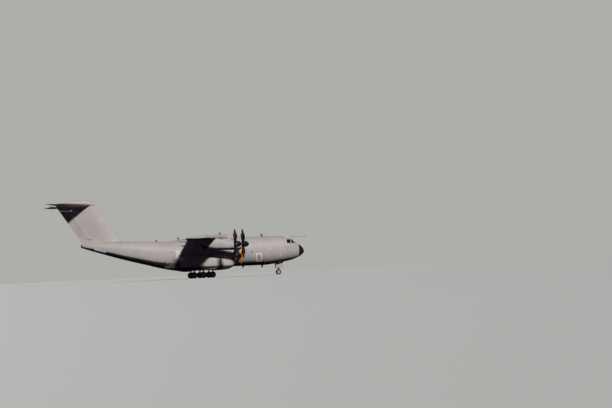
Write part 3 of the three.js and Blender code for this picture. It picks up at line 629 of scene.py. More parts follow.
finish = Finish("tread_metal", Metallic=0.85)
smear = finish.noise(7, 4)
studs = finish.x.line(0.02, 0.008) * finish.z.line(0.02, 0.008)
tread_metal = finish.plain(smear, (0.28, 0.28, 0.28), (0.42, 0.42, 0.41),
                           Roughness=0.35 + 0.3 * smear, height=studs * 1.5 + smear * 0.2)
crew_door = wall("crew_door_skin", (5.3, 6.95, 0.11), (5.2, 7.05, 0.11))
fit_wall(shared(crew_door, opening(CREW_DOOR, 1)), nose_paint, "crew_door", body="crew_door")
treads = []
for level in TREAD.levels:
    reach = inner_wall_at(6.12, level)
    treads.append(block(TREAD.front, TREAD.rear, reach - TREAD.depth, reach + 0.03,
                        level, level + TREAD.thickness, 0.01))
fit(joined("door_treads", *treads), "deck_metal", tread_metal, body="crew_door")
rails = []
for d in (TREAD.front - 0.05, TREAD.rear + 0.05):
    bends = [place(d, inner_wall_at(d, level) + aside, level)
             for level, aside in ((1.05, 0.02), (1.15, -0.12), (2.5, -0.12), (2.6, 0.02))]
    rails.append(pipe("rail", bends, RAIL_RADIUS))
fit(joined("door_rails", *rails), "deck_metal", strip_metal, body="crew_door")
latch = skin_patch("door_latch", (6.3, 6.45, 2.2, 2.3), 1, 0.006, 0.05, 0.02)
fit(latch, "deck_metal", tread_metal, body="crew_door")

# Flight deck.
# The crew's floor above the nose wheel bay, on cross beams, with the instrument panel, its glare shield, the
# console between the seats with its levers, and a side stick and panel for each pilot.
FLIGHT_DECK = Sizes(front=1.5, rear=4.9, top=2.6, thickness=0.12)
PILOT_Y = 0.62
SIDES = (("left", 1), ("right", -1))


def painted(name, color, roughness, speckle=40.0, **constants):
    """Paint or moulded plastic in one tone, with fine texture and a slightly uneven tone."""
    finish = Finish(name, **constants)
    cloud, grain = finish.noise(2.2, 4), finish.noise(speckle, 4)
    return finish.plain(cloud, tint(color, 0.8), tint(color, 1.15),
                        Roughness=roughness * (0.75 + 0.3 * cloud + 0.2 * grain), height=grain * 0.5)


def across_cabin(front, rear, low, high):
    """A plate from wall to wall of the flight deck."""
    edge = hull("deck_edge", steps(1.3, 5.2, 0.15), WALL + SEAM)
    return shared(block(front, rear, -4, 4, low, high), edge)


panel_grey = painted("panel_grey", (0.06, 0.065, 0.075), 0.6)
shield_black = painted("shield_black", (0.012, 0.012, 0.012), 0.8)
screen_glass = dark_glass("screen_glass")
top = FLIGHT_DECK.top
deck = across_cabin(FLIGHT_DECK.front, FLIGHT_DECK.rear, top - FLIGHT_DECK.thickness, top)
beams = [across_cabin(d, d + 0.08, top - 0.26, top - 0.1) for d in (2.0, 3.0, 4.0)]
fit(joined("flight_deck_floor", deck, *beams), "cockpit_grey", panel_grey, node="flight_deck")
panel = [
    block(1.64, 1.86, -1.05, 1.05, 2.59, 3.3, 0.03),
    block(1.9, 2.86, -0.2, 0.2, 2.59, 2.93, 0.04),
    *(block(2.1, 3.1, side * 1.12, side * 1.3, 2.59, 3.05, 0.03) for side in (1, -1)),
]
fit(joined("instrument_panel", *panel), "cockpit_grey", panel_grey)
fit(called(block(1.62, 2.0, -1.08, 1.08, 3.3, 3.37, 0.03), "glare_shield"), "cockpit_grey", shield_black)
screens = [
    *(block(1.85, 1.875, y - 0.14, y + 0.14, 2.93, 3.24, 0.008) for y in (-0.84, -0.5, -0.17, 0.17, 0.5, 0.84)),
    *(block(2.2, 2.5, y - 0.08, y + 0.08, 2.925, 2.94, 0.004) for y in (-0.09, 0.09)),
]
fit(joined("panel_screens", *screens), "cockpit_grey", screen_glass)
levers = []
for y in (-0.12, -0.04, 0.04, 0.12):
    levers.append(rod("lever", place(2.6, y, 2.92), place(2.54, y, 3.08), 0.012, sides=8))
    levers.append(block(2.5, 2.57, y - 0.03, y + 0.03, 3.06, 3.11, 0.015))
for side in (1, -1):
    levers.append(rod("stick", place(2.45, side * 1.2, 3.04), place(2.42, side * 1.2, 3.22), 0.03, 0.02, 12))
fit(joined("cockpit_levers", *levers), "cockpit_grey", shield_black)

# Pilots' seats.
# Each seat is a pedestal with a metal bucket and arm rests, and padded cushions in green cloth for the
# base, the back and the head.


def cushion(name, d0, d1, y0, y1, h0, h1, swell):
    """A crowned pad: a box with its faces swollen, its sides pulled in between the corners, and rounded."""
    pad = block(d0, d1, y0, y1, h0, h1)
    edit(pad)
    bpy.ops.mesh.subdivide(number_cuts=5)
    close_edit()
    low, high = place(d1, y0, h0), place(d0, y1, h1)
    centre, half = (low + high) / 2, (high - low) / 2
    for vertex in pad.data.vertices:
        share = [(vertex.co[k] - centre[k]) / half[k] for k in range(3)]
        for k in range(3):
            crown = (1 - share[(k + 1) % 3] ** 2) * (1 - share[(k + 2) % 3] ** 2)
            edge = 1 - 0.06 * (share[(k + 1) % 3] ** 2 * share[(k + 2) % 3] ** 2)
            vertex.co[k] = centre[k] + half[k] * share[k] * (edge + (crown - 0.6) * swell)
    soften = pad.modifiers.new("soften", "SUBSURF")
    soften.levels = soften.render_levels = 2
    bpy.ops.object.modifier_apply(modifier=soften.name)
    return called(pad, name)


finish = Finish("seat_cloth", Sheen_Weight=0.3)
weave = finish.x.line(0.003, 0.0015) + finish.y.line(0.003, 0.0015) + finish.z.line(0.003, 0.0015)
fade = finish.noise(6, 4)
green_cloth = finish.plain(fade, (0.05, 0.075, 0.055), (0.085, 0.115, 0.085),
                           Roughness=0.85 + 0.1 * fade, height=weave * 0.5)
for side_name, side in SIDES:
    y = side * PILOT_Y
    parts = [
        block(2.92, 3.23, y - 0.14, y + 0.14, 2.601, 2.88, 0.03),
        block(2.76, 3.34, y - 0.25, y + 0.25, 2.885, 2.94, 0.02),
        block(3.31, 3.345, y - 0.25, y + 0.25, 2.9, 3.72, 0.015),
    ]
    for k in (1, -1):
        parts.append(block(2.85, 3.25, y + k * 0.27, y + k * 0.31, 3.1, 3.15, 0.015))
        parts.append(rod("post", place(3.24, y + k * 0.29, 2.93), place(3.24, y + k * 0.29, 3.12), 0.015, sides=8))
    fit(joined(f"seat_frame_{side_name}", *parts), "cockpit_grey", panel_grey, node=f"pilot_seat_{side_name}")
    for pad_name, front, rear, half_width, low, high in (
            ("base", 2.77, 3.22, 0.23, 2.935, 3.05),
            ("back", 3.205, 3.305, 0.23, 3.06, 3.7),
            ("head", 3.215, 3.315, 0.13, 3.74, 3.91)):
        pad = cushion(f"{pad_name}_cushion_{side_name}", front, rear, y - half_width, y + half_width,
                      low, high, 0.08)
        fit(pad, "seat_cloth", green_cloth)

# Middle barrel.
# The long parallel part of the cabin: riveted panels on hoop frames, opened above for the wing's centre box
# and on each side for a jump door. An amber band marks the plane of the propellers, and a pale outline on
# the right shows where the emergency exit is.
REAR_JOINT = 24.45
# Openings and painted marks, each by its front and rear d, low and high h.
JUMP_DOOR = (23.2, 24.15, 0.9, 2.9)
PORTHOLE = (9.55, 9.77, 2.24, 2.48)
PROPELLER_BAND = (11.28, 11.72, 0.3, 3.25)
EXIT = (7.85, 8.85, 0.62, 2.08)
EXIT_WINDOW = (8.15, 8.56, 1.18, 1.72)
EXIT_OUTLINE = 0.17
AMBER = (0.9, 0.37, 0.008)
EXIT_PALE = (0.95, 0.8, 0.79)
EXIT_SHADE = (0.36, 0.305, 0.295)
WING = Sizes(lead=12.9, root_chord=7.5, tip_chord=3.1, half_span=21.2, sweep=17.7, level=5.02,
            anhedral=0.6, anhedral_from=2.8, root_ratio=0.135, tip_ratio=0.11)
WING_TIP = Sizes(round=0.35, shrink=0.72, lean=0.7, rings=6)
# Wing and tail sections. Columns: fraction of the chord, share of the half thickness.
PROFILE = [(0, 0), (0.03, 0.42), (0.14, 0.84), (0.34, 1), (0.66, 0.68), (1, 0.05)]
FRACTIONS = [(1 - math.cos(math.pi * i / 18)) / 2 for i in range(19)]


def share_at(fraction):
    """How thick an aerofoil is at a fraction of its chord, on a curve with a round nose."""
    return between([(math.sqrt(f), share) for f, share in PROFILE], math.sqrt(fraction))[1]


def aerofoil(lead, chord, thickness, grow=0.0):
    """Points of an aerofoil as d and rise, from its trailing edge over the top and back below."""
    def point(fraction, side):
        rise = side * (share_at(fraction) * thickness / 2 + grow) if fraction else 0
        return lead + chord * fraction + (fraction * 2 - 1) * grow, rise
    return [point(f, 1) for f in reversed(FRACTIONS)] + [point(f, -1) for f in FRACTIONS[1:]]


def wing_at(y):
    """The wing's leading edge, chord, level and thickness at y."""
    t = y / WING.half_span
    chord = WING.root_chord + (WING.tip_chord - WING.root_chord) * t
    lead = WING.lead + y * math.tan(math.radians(WING.sweep))
    level = WING.level - max(0, y - WING.anhedral_from) * math.tan(math.radians(WING.anhedral))
    return lead, chord, level, chord * (WING.root_ratio + (WING.tip_ratio - WING.root_ratio) * t)


def aerofoil_ring(shape, y, grow=0.0, shrink=1.0, flat=1.0, lean=1.0):
    """A section at y of what has a leading edge, chord, level and thickness there."""
    lead, chord, level, thickness = shape(y)
    inset = chord * (1 - shrink)
    points = aerofoil(lead + inset * lean, chord - inset, thickness * shrink * flat, grow)
    return [place(d, y, level + rise) for d, rise in points]


def tip_rings(shape, half_span, tip, grow):
    """Sections that round off a tip."""
    rings = []
    for i in range(1, tip.rings + 1):
        turn = math.pi / 2 * i / tip.rings
        rings.append(aerofoil_ring(
            shape, half_span - tip.round * (1 - math.sin(turn)), grow,
            1 - (1 - tip.shrink) * (1 - math.cos(turn)), 0.06 + 0.94 * math.cos(turn), tip.lean,
        ))
    return rings


def wing_skin(name, outer=None, grow=0.0):
    """The left wing's solid from the centre line to y, or with its rounded tip."""
    places = [SEAM / 2, *steps(WING.anhedral_from, outer or WING.half_span - WING_TIP.round, 0.9)]
    rings = [aerofoil_ring(wing_at, y, grow) for y in places]
    return loft(name, rings if outer else rings + tip_rings(wing_at, WING.half_span, WING_TIP, grow))


def duplicate(piece, name):
    """A copy with its own mesh, opened in edit mode."""
    select(piece)
    bpy.ops.object.duplicate()
    other = called(bpy.context.object, name)
    edit(other)
    return other


def moved_copy(piece, name, move):
    other = duplicate(piece, name)
    bpy.ops.transform.translate(value=move)
    close_edit()
    return other


def repeated(piece, moves):
    """Copies of a piece, one at each move from it, instead of the piece itself."""
    copies = [moved_copy(piece, piece.name, move) for move in moves]
    bpy.data.objects.remove(piece)
    return copies


def mirrored(piece, name):
    """The same piece on the other side of the centre line."""
    other = duplicate(piece, name)
    bpy.ops.transform.resize(value=(1, -1, 1), center_override=(0, 0, 0))
    bpy.ops.mesh.flip_normals()
    close_edit()
    return other


def wing_room():
    """The room that the wings' roots take up."""
    left = wing_skin("room", 4, SEAM)
    return mirrored(left, "room_right"), left


def rectangle(finish, front, rear, low, high):
    """1 inside a rectangle seen from the side."""
    near, far = place(rear, 0, low), place(front, 0, high)
    return finish.x.within(near.x, far.x) * finish.z.within(near.z, far.z)


def centre_marks(finish, color):
    right = finish.y < 0
    outline = rectangle(finish, *EXIT) - rectangle(finish, *grown(EXIT, -EXIT_OUTLINE))
    color = finish.mix(rectangle(finish, *PROPELLER_BAND), color, AMBER)
    color = finish.mix(outline * right, color, EXIT_PALE)
    return finish.mix(rectangle(finish, *EXIT_WINDOW) * right, color, EXIT_SHADE)


def belly_shade_rise(finish):
    """The painted belly shade climbs higher up the sides towards the ramp."""
    return finish.fade(finish.x, place(REAR_JOINT, 0, 0).x, place(22.6, 0, 0).x, 0.3, 0.62)


# The barrel's faces that look down get painted shade, reaching higher towards the ramp.
centre_paint = airframe_paint("centre_paint", marks=centre_marks, painted_shade=belly_shade_rise)
centre = wall("centre_skin", (NOSE_JOINT + SEAM, REAR_JOINT - SEAM, 0.3), (NOSE_JOINT - 0.5, REAR_JOINT + 0.5, 0.5))
carve(centre, *wing_room())
for side in (1, -1):
    carve(centre, opening(JUMP_DOOR, side, SEAM), opening(PORTHOLE, side, 0, 0.08))
fit_wall(centre, centre_paint, "fuselage_centre")
portholes = [skin_patch("porthole", grown(PORTHOLE, -0.01), side, -0.015, 0.05, 0.07) for side in (1, -1)]
fit(joined("porthole_panes", *portholes), "glazing", glass)

# Jump doors.
# A door on each side for jumping, behind the sponson: a skin panel on its own frame, with a pale wind
# screen folded flat on the skin ahead of it. The door moves in and up on rails, so it is shown shut.
SCREEN = (21.9, 22.85, 1.35, 3.1)
DOOR_GAP = 0.008
screen_grey = painted("screen_grey", (0.66, 0.6, 0.57), 0.45, 30)
for name, side in SIDES:
    door = wall(f"jump_door_skin_{name}", (22.9, 24.44, 0.11), (22.8, 24.6, 0.11))
    fit_wall(shared(door, opening(JUMP_DOOR, side, -DOOR_GAP)), centre_paint, f"jump_door_{name}")
    fit(skin_patch(f"wind_screen_{name}", SCREEN, side, 0.03, 0.04, 0.12), "airframe_paint", screen_grey)

# Cargo floor.
# Planks of light alloy across the hold, with sunk cups for tie-downs and four roller rails for pallets.
DECK = Sizes(front=5.45, rear=24.4, top=0.85, thickness=0.2)
RAIL_PLACES = (-1.4, -0.7, 0.7, 1.4)
ROLLER = Sizes(level=0.875, half_width=0.08, radius=0.02, pitch=0.6)

finish = Finish("deck_planks", Metallic=0.6)
scratch = finish.noise(4, 6, (0.3, 4, 1))
planks = finish.x.line(0.45, 0.008) + finish.y.line(0.3, 0.006)
cups = finish.x.line(0.45, 0.06, 0.5) * finish.y.line(0.6, 0.06, 0.25)
color = finish.ramp(scratch, [(0.3, (0.2, 0.2, 0.2)), (0.7, (0.34, 0.34, 0.33))])
hold_metal = finish.wear(Base_Color=finish.mix(cups + planks * 0.7, color, (0.04, 0.04, 0.04)),
                         Roughness=0.35 + 0.4 * scratch, height=scratch * 0.3 - planks - cups)
hold_floor = called(block(DECK.front, DECK.rear, -4, 4, DECK.top - DECK.thickness, DECK.top), "hold_floor")
shared(hold_floor, hull("deck_edge", steps(5.2, 24.45, 0.4), WALL + 0.002))
fit(hold_floor, "deck_metal", hold_metal, node="cargo_floor")
guides = [block(5.7, 24.3, y + k * 0.09, y + k * 0.11, 0.85, 0.905, 0.004) for y in RAIL_PLACES for k in (1, -1)]
roller = pin(0, 0, ROLLER.level, ROLLER.half_width, ROLLER.radius, 8)
roller_places = [(d, y) for d in steps(6.3, 24.0, ROLLER.pitch) for y in RAIL_PLACES]
rollers = repeated(roller, [place(d, y, 0) - place(0, 0, 0) for d, y in roller_places])
fit(joined("roller_rails", *guides, *rollers), "deck_metal", strip_metal)

# Rear barrel.
# The tail of the cabin, where the belly rises to the tail cone. Its underside is open for the ramp and the
# upper door, and its blunt end holds the exhaust of the auxiliary power unit.
TAIL_BULKHEAD = 37.6
TAIL_END = 39.05
RAMP = Sizes(front=24.5, rear=29.9, half_width=1.95, lift=0.5)
UPPER_DOOR = Sizes(rear=36, rear_half_width=1.05, lift=0.4)
RAMP_JOINT_SLANT = 0.18
RAMP_JOINT_GAP = 0.09
TAIL_PATCH = (34.85, 36.8)


def prism(name, outline, start, end, upright=False):
    """A straight-sided block: an outline of d and y between two h, or of d and h between two y."""
    def corner(a, b, level):
        return place(a, level, b) if upright else place(a, b, level)
    bpy.ops.mesh.primitive_circle_add(vertices=len(outline), fill_type="NGON")
    piece = called(bpy.context.object, name)
    for vertex, (a, b) in zip(piece.data.vertices, outline):
        vertex.co = corner(a, b, start)
    edit(piece)
    way = corner(0, 0, end) - corner(0, 0, start)
    bpy.ops.mesh.extrude_region_move(TRANSFORM_OT_translate={"value": way})
    bpy.ops.mesh.select_all(action="SELECT")
    bpy.ops.mesh.normals_make_consistent(inside=False)
    close_edit()
    return piece


def belly_line(front, rear, lift):
    return [(d, hull_row(d)[1] + lift) for d in steps(front, rear, 0.35)]


def ramp_core(gap):
    """The room of the ramp in the belly, grown by a gap."""
    front, rear = RAMP.front + SWING - gap, RAMP.rear + gap
    back = rear + RAMP_JOINT_SLANT
    outline = belly_line(front, rear, RAMP.lift + gap)
    outline += [(back, hull_row(rear)[1]), (back, -4), (front, -4)]
    reach = RAMP.half_width + gap
    return prism("ramp_core", outline, -reach, reach, upright=True)


def upper_door_core(gap):
    """The room of the upper door behind the ramp, narrower towards its rear."""
    hinge_line = RAMP.rear + RAMP_JOINT_GAP
    front, rear = hinge_line - gap, UPPER_DOOR.rear + gap
    toe = front + RAMP_JOINT_SLANT
    outline = belly_line(front, rear, UPPER_DOOR.lift + gap)
    outline += [(rear, -4), (toe, -4), (toe, hull_row(front)[1])]
    wide, narrow = RAMP.half_width + gap, UPPER_DOOR.rear_half_width + gap
    plan = [(hinge_line - 1, wide), (hinge_line - 1, -wide), (rear + 1, -narrow), (rear + 1, narrow)]
    return shared(prism("upper_door_core", outline, -4, 4, upright=True), prism("plan", plan, -5, 12))


def rear_marks(finish, color):
    """A pale patch low on the tail, and the burnt ring round the exhaust."""
    front, rear = (place(d, 0, hull_row(d)[1]) for d in TAIL_PATCH)
    above_keel = finish.z - front.z + (finish.x - front.x) * ((rear.z - front.z) / (front.x - rear.x))
    patch = finish.x.within(rear.x, front.x) * above_keel.within(0.12, 0.3) * (finish.y < 0)
    color = finish.mix(patch * 0.95, color, (0.92, 0.88, 0.86))
    return finish.mix(finish.x < place(38.86, 0, 0).x, color, (0.03, 0.027, 0.03))


# The rear barrel's faces that look down get painted shade.
rear_paint = airframe_paint("rear_paint", marks=rear_marks, painted_shade=0.3)
rear = wall("rear_skin", (REAR_JOINT + SEAM, TAIL_END, 0.2), (REAR_JOINT - 0.5, TAIL_BULKHEAD, 0.2))
exhaust = rod("exhaust_bore", place(38.6, 0, 4.66), place(39.3, 0, 4.7), 0.13)
carve(rear, ramp_core(SWING), upper_door_core(SWING), exhaust)
fit_wall(rear, rear_paint, "fuselage_rear")

# Ramp and upper door.
# Two boxes that close the belly under the tail. The ramp is hinged at its front edge and drops to the
# ground, and the upper door is hinged at its rear edge and swings up. Both have planked inner faces.
for name, core, body in (("ramp_shell", ramp_core, "ramp"),
                         ("upper_door_shell", upper_door_core, "upper_cargo_door")):
    skin = shared(hull(name, steps(REAR_JOINT, TAIL_END, 0.2)), core(0))
    coat(skin, rear_paint, hold_metal, lambda centre, normal: normal.z > 0.3)
    fit(skin, "airframe_paint", body=body, node=body)
rails = []
for y in RAIL_PLACES:
    points = [place(d, y, hull_row(d)[1] + RAMP.lift + 0.005) for d in steps(24.9, 29.6, 0.8)]
    rails.append(pipe("rail", points, 0.03, 8))
fit(joined("ramp_rails", *rails), "deck_metal", strip_metal, body="ramp")

# Wing fairing.
# A composite hump over the centre box of the wing, screwed to the crown of the middle barrel. It blends
# the wing's roots into the fuselage, with air scoops on its shoulders.

# Sections of the hump. Columns: d, half width, low h, high h.
FAIRING = [
    (10.9, 0.5, 4.85, 5.12),
    (12.3, 1.9, 4.5, 5.5),
    (14, 2.6, 4.2, 5.68),
    (18.5, 2.72, 4.1, 5.66),
    (21.2, 2.2, 4.2, 5.26),
    (23.4, 0.6, 4.5, 4.96),
]


def seated(piece, front, rear, size):
    """Cuts a piece so that it sits on the skin of the fuselage."""
    return carve(piece, hull("seat", steps(front, rear, size), -SEAM))


composite_paint = airframe_paint("composite_paint", frames=(0.6, 0.9))
fairing = loft("wing_fairing_skin", [
    section(d, 0, half_width, low, high, 3, 3, HULL_POINTS)
    for d, half_width, low, high in (between(FAIRING, d) for d in steps(FAIRING[0][0], FAIRING[-1][0], 0.25))
])
carve(seated(fairing, 9, 25, 0.4), *wing_room())
fit(fairing, "composite_paint", composite_paint, node="wing_fairing")
scoops = []
for y in (1.7, -1.7):
    scoop = loft("scoop", [
        section(d, y, 0.02 + 0.2 * w, 5.2, 5.48 + 0.16 * w, 2.4, 2.4, 20)
        for d, w in ((13.0, 0.9), (13.1, 1.0), (13.5, 1.0), (14.1, 0.8), (14.7, 0.35), (15.1, 0.02))
    ])
    scoops.append(carve(scoop, block(12.9, 13.4, y - 0.16, y + 0.16, 5.45, 5.59, 0.05)))
fit(joined("fairing_scoops", *scoops), "composite_paint", composite_paint)

# Wings.
# Each wing is a box of two spars under riveted skin, with fairings under it over the flap tracks, a pad
# for a hardpoint, thin spoiler panels on top, and flaps and an aileron hinged at its rear.
FLAP_HINGE = 0.73
FLAP_END_GAP = 0.14
# Flaps. Columns: name, inner y, outer y, and the y of the two track fairings.
FLAPS = [("inner", 3.3, 9.2, 4.1, 8.3), ("outer", 9.4, 15, 13, 14.4)]
TRACK = Sizes(start=0.42, overhang=0.75, half_width=0.17, depth=0.42, seat=0.06)
AILERON = Sizes(inner=15.25, outer=20.4, hinge=0.75)
HINGE_ROUND = 1.04
PAD = Sizes(y=16.4, fraction=0.42, length=1.2, width=0.3, drop=0.06)
# Engines of one side. Columns: name, y, d of the propeller's disc, h of the axis.
ENGINES = [("inner", 5.9, 11.5, 3.74), ("outer", 11.5, 13.5, 3.72)]
# Spoilers. Columns: inner y, outer y.
SPOILERS = [(3.6, 5.4), (6.5, 8.1), (8.3, 9.1), (9.5, 11.0), (12.1, 13.5)]
# A spoiler's section. Columns: fraction of the chord, height over the skin.
SPOILER = [(0.615, -0.05), (0.615, 0.012), (0.66, 0.012), (0.7, 0.01), (0.717, 0.008), (0.717, -0.05)]


def release(host, core, gap):
    """Splits a moving part out of its host, with room round it. The host keeps the rest."""
    part = duplicate(host, host.name)
    close_edit()
    shared(part, core(0))
    carve(host, core(gap))
    return part


def fit_both(left, name, slot, *finishes, node=None, moves=False):
    """Fits a piece of the left side and its mirror image, on the bodies of their nodes where they move."""
    for side, piece in (("right", mirrored(left, f"{name}_right")), ("left", called(left, f"{name}_left"))):
        own = node and f"{node}_{side}"
        fit(piece, slot, *finishes, body=own if moves else "airframe", node=own)


def track_fairing(y):
    lead, chord, level, thickness = wing_at(y)
    end = (chord + TRACK.overhang) / chord
    rings = []
    for fraction in steps(TRACK.start, end, 0.02):
        t = (fraction - TRACK.start) / (end - TRACK.start)
        swell = max(0.02, math.sin(math.pi * t**0.8)) ** 0.75
        under = level - share_at(min(1, fraction)) * thickness / 2
        rings.append(section(lead + chord * fraction, y, TRACK.half_width * swell,
                             under - TRACK.depth * swell, under + TRACK.seat, 2, 2, 24))
    return loft("track", rings)


def behind(hinge, low, high):
    """The room aft of a hinge line, whose d is given at a low and a high y."""
    return prism("behind", [(hinge(low), low), (hinge(high), high), (50, high), (50, low)], -4, 16)


def flap_core(inner, outer):
    def core(gap):
        def hinge(y):
            lead, chord, _, _ = wing_at(y)
            return lead + chord * FLAP_HINGE - gap
        end_gap = FLAP_END_GAP if gap else 0
        return behind(hinge, inner - end_gap, outer + end_gap)
    return core


def hinged_core(shape, sizes, end_gaps):
    """The room of a part with a round nose on its hinge line, such as an aileron."""
    def core(gap):
        def pivot(y):
            lead, chord, level, thickness = shape(y)
            radius = share_at(sizes.hinge) * thickness / 2 * HINGE_ROUND
            return place(lead + chord * sizes.hinge, y, level), radius + gap
        def hinge(y):
            lead, chord, _, _ = shape(y)
            return lead + chord * sizes.hinge
        low, high = sizes.inner - end_gaps * gap, sizes.outer + end_gaps * gap
        (inner, inner_radius), (outer, outer_radius) = pivot(low), pivot(high)
        return welded(behind(hinge, low, high), rod("nose", inner, outer, inner_radius, outer_radius, 32))
    return core


def swept(finish):
    """Distance aft of a line along the sweep, and distance from the centre line."""
    out = abs(finish.y)
    return finish.x + out * math.tan(math.radians(WING.sweep * 0.8)), out


def wing_soot(finish):
    """Exhaust soot on the underside behind each engine."""
    out = abs(finish.y)
    droop = (out - WING.anhedral_from * SCALE) * math.tan(math.radians(WING.anhedral))
    under = finish.z < place(0, 0, WING.level - 0.1).z - droop
    smoke = finish.noise(2.5, 4, (0.3, 1.5, 1))
    trail = 0
    for _, y_engine, _, _ in ENGINES:
        off = abs(out - y_engine * SCALE) * (1 / 0.45)
        trail = out.sum("MAXIMUM", 1 - off, 0.0) + trail
    along = finish.x + out * math.tan(math.radians(WING.sweep))
    return trail * under * finish.fade(along, place(18, 0, 0).x, place(21, 0, 0).x, 0.0, 0.7) * (0.5 + smoke)


# The wings' undersides get painted shade.
wing_paint = airframe_paint("wing_paint", frames=(0.45, 0.9), axes=swept, soot=wing_soot, painted_shade=0.7)
left_wing = wing_skin("wing_skin_left")
welded(left_wing, *(track_fairing(y) for _, _, _, *tracks in FLAPS for y in tracks))
moving = [(f"flap_{name}", release(left_wing, flap_core(inner, outer), SWING)) for name, inner, outer, *_ in FLAPS]
moving.append(("aileron", release(left_wing, hinged_core(wing_at, AILERON, 1), SWING)))
lead, chord, level, thickness = wing_at(PAD.y)
middle = lead + chord * PAD.fraction
welded(left_wing, block(middle - PAD.length / 2, middle + PAD.length / 2, PAD.y - PAD.width / 2,
                        PAD.y + PAD.width / 2, level - thickness / 2 - PAD.drop, level))
spoilers = []
for span in SPOILERS:
    rings = []
    for y in span:
        lead, chord, level, thickness = wing_at(y)
        rings.append([place(lead + chord * f, y, level + share_at(f) * thickness / 2 + lift) for f, lift in SPOILER])
    spoilers.append(loft("spoiler", rings))
fit_both(joined("spoilers", *spoilers), "spoilers", "airframe_paint", wing_paint)
for node, part in moving:
    fit_both(part, f"{node}_skin", "airframe_paint", wing_paint, node=node, moves=True)
fit_both(left_wing, "wing_skin", "airframe_paint", wing_paint, node="wing")

# Engine nacelles.
# A composite cowl hangs below the wing round each engine. Its round lip feeds the chin intake under the
# spinner, a plate closes the rest of the front, and the exhaust pipe leaves it low at the rear.

# Sections behind the propeller disc. Columns: distance, half width, top, bottom.
NACELLE = [
    (0.32, 0.56, 0.52, -0.85),
    (1.3, 0.66, 0.7, -0.93),
    (3.2, 0.7, 1.14, -0.9),
    (5.2, 0.6, 1.28, -0.4),
    (6.5, 0.2, 1.25, 0.55),
]
NACELLE_WALL = 0.06
FIREWALL = 4.3
NACELLE_POINTS = 48
LIP = 0.03


def nacelle_ring(engine, distance, inset=0.0, narrow=1.0):
    _, y, disc, axis = engine
    _, half_width, top, bottom = between(NACELLE, distance)
    return section(disc + distance, y, (half_width - inset) * narrow, axis + bottom + inset,
                   axis + top - inset, 2.4, 2.4, NACELLE_POINTS)


def round_axis(y, h):
    """Distance along the aircraft, and distance round a nacelle's own axis."""
    centre = place(0, y, h)
    return lambda finish: (finish.x, (finish.z - centre.z).turn(abs(finish.y) - centre.y) * 0.35)


finish = Finish("burnt_metal", Metallic=0.9)
heat = finish.noise(4, 5)
brown_to_blue = [(0.3, (0.06, 0.045, 0.036)), (0.55, (0.09, 0.075, 0.068)), (0.75, (0.06, 0.065, 0.08))]
exhaust_metal = finish.wear(
    Base_Color=finish.ramp(heat, brown_to_blue), Roughness=0.35 + 0.3 * heat, height=heat * 0.4
)
engine_steel = bare_metal("engine_steel", (0.3, 0.3, 0.31), 0.4)
dark_liner = painted("dark_liner", (0.03, 0.03, 0.032), 0.7)
for engine in ENGINES:
    name, y, disc, axis = engine
    # The cowls' faces that look down get painted shade.
    cowl_paint = airframe_paint(f"cowl_paint_{name}", frames=(0.45, 0.4), axes=round_axis(y, axis), painted_shade=0.3)
    tail = [nacelle_ring(engine, s, narrow=math.sqrt(max(0.02, 1 - ((s - 5.4) / 1.1) ** 2)) if s > 5.4 else 1)
            for s in steps(6.5, 0.45, 0.12)]
    lip = [nacelle_ring(engine, 0.35 - LIP * math.sin(turn), LIP * (1 - math.cos(turn)))
           for turn in steps(0.01, math.pi, math.pi / 8)]
    bore = [nacelle_ring(engine, s, NACELLE_WALL) for s in steps(0.4, FIREWALL, 0.3)]
    cowl = carve(loft("cowl", tail + lip + bore), wing_skin("room", grow=SEAM))
    front_plate = carve(
        loft("front_plate", [nacelle_ring(engine, s, NACELLE_WALL + 0.001) for s in (0.55, 0.6)]),
        rod("hub_hole", place(disc, y, axis), place(disc + 1, y, axis), 0.3, sides=40),
        block(disc, disc + 1, y - 0.36, y + 0.36, axis - 0.77, axis - 0.55, 0.1),
    )
    duct = loft("duct", [
        section(disc + s, y, w, axis - 0.66 - h, axis - 0.66 + h, 4, 4, 32)
        for s, w, h in ((0.55, 0.39, 0.135), (1.6, 0.36, 0.125), (1.6, 0.33, 0.095), (0.55, 0.36, 0.105))
    ])
    exhaust = loft("exhaust", [
        section(disc + s, y + 0.05, 0.3 - inset, axis - 0.72 + inset, axis - 0.34 - inset, 2.2, 2.2, 36)
        for s, inset in ((4.2, 0.0), (5.32, 0.0), (5.34, 0.012), (5.32, 0.024), (4.2, 0.024))
    ])
    vents = []
    for at in (y + 0.5, y - 0.5):
        vent = loft("vent", [section(disc + s, at, 0.03 + 0.1 * w, axis + 0.1, axis + 0.3 + 0.14 * w, 2.4, 2.4, 16)
                             for s, w in ((1.5, 0.95), (1.6, 1.0), (1.9, 0.9), (2.3, 0.45), (2.6, 0.05))])
        vents.append(carve(vent, block(disc + 1.4, disc + 1.75, at - 0.1, at + 0.1, axis + 0.2, axis + 0.4, 0.03)))
    fit_both(cowl, f"cowl_{name}", "composite_paint", cowl_paint, node=f"nacelle_{name}")
    fit_both(front_plate, f"front_plate_{name}", "composite_paint", cowl_paint)
    fit_both(duct, f"intake_duct_{name}", "composite_paint", dark_liner)
    fit_both(exhaust, f"exhaust_pipe_{name}", "engine_metal", exhaust_metal)
    fit_both(joined("vents", *vents), f"cowl_vents_{name}", "composite_paint", cowl_paint)
    for side in ("left", "right"):
        engine_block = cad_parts[f"engine_{name}_{side}"]
        engine_block.data.materials.clear()
        engine_block.data.materials.append(engine_steel)

# Propellers.
# Eight curved composite blades on each hub, black with pale tips, behind a pointed spinner. The two
# propellers on a wing turn opposite ways.
SPINNER = Sizes(radius=0.525, shoulder=0.12, nose=1.05, back=0.25, bluntness=2.2)
BLADES = 8
# Blade sections. Columns: radius, chord, thickness, lag behind the pitch line, pitch angle in degrees.
BLADE = [
    (0.4, 0.2, 0.16, 0, 72),
    (0.9, 0.37, 0.07, -0.03, 66),
    (1.7, 0.45, 0.045, -0.04, 58),
    (2.35, 0.35, 0.03, 0.01, 53),
    (2.665, 0.16, 0.02, 0.07, 50),
]
PALE_TIP = 2.38


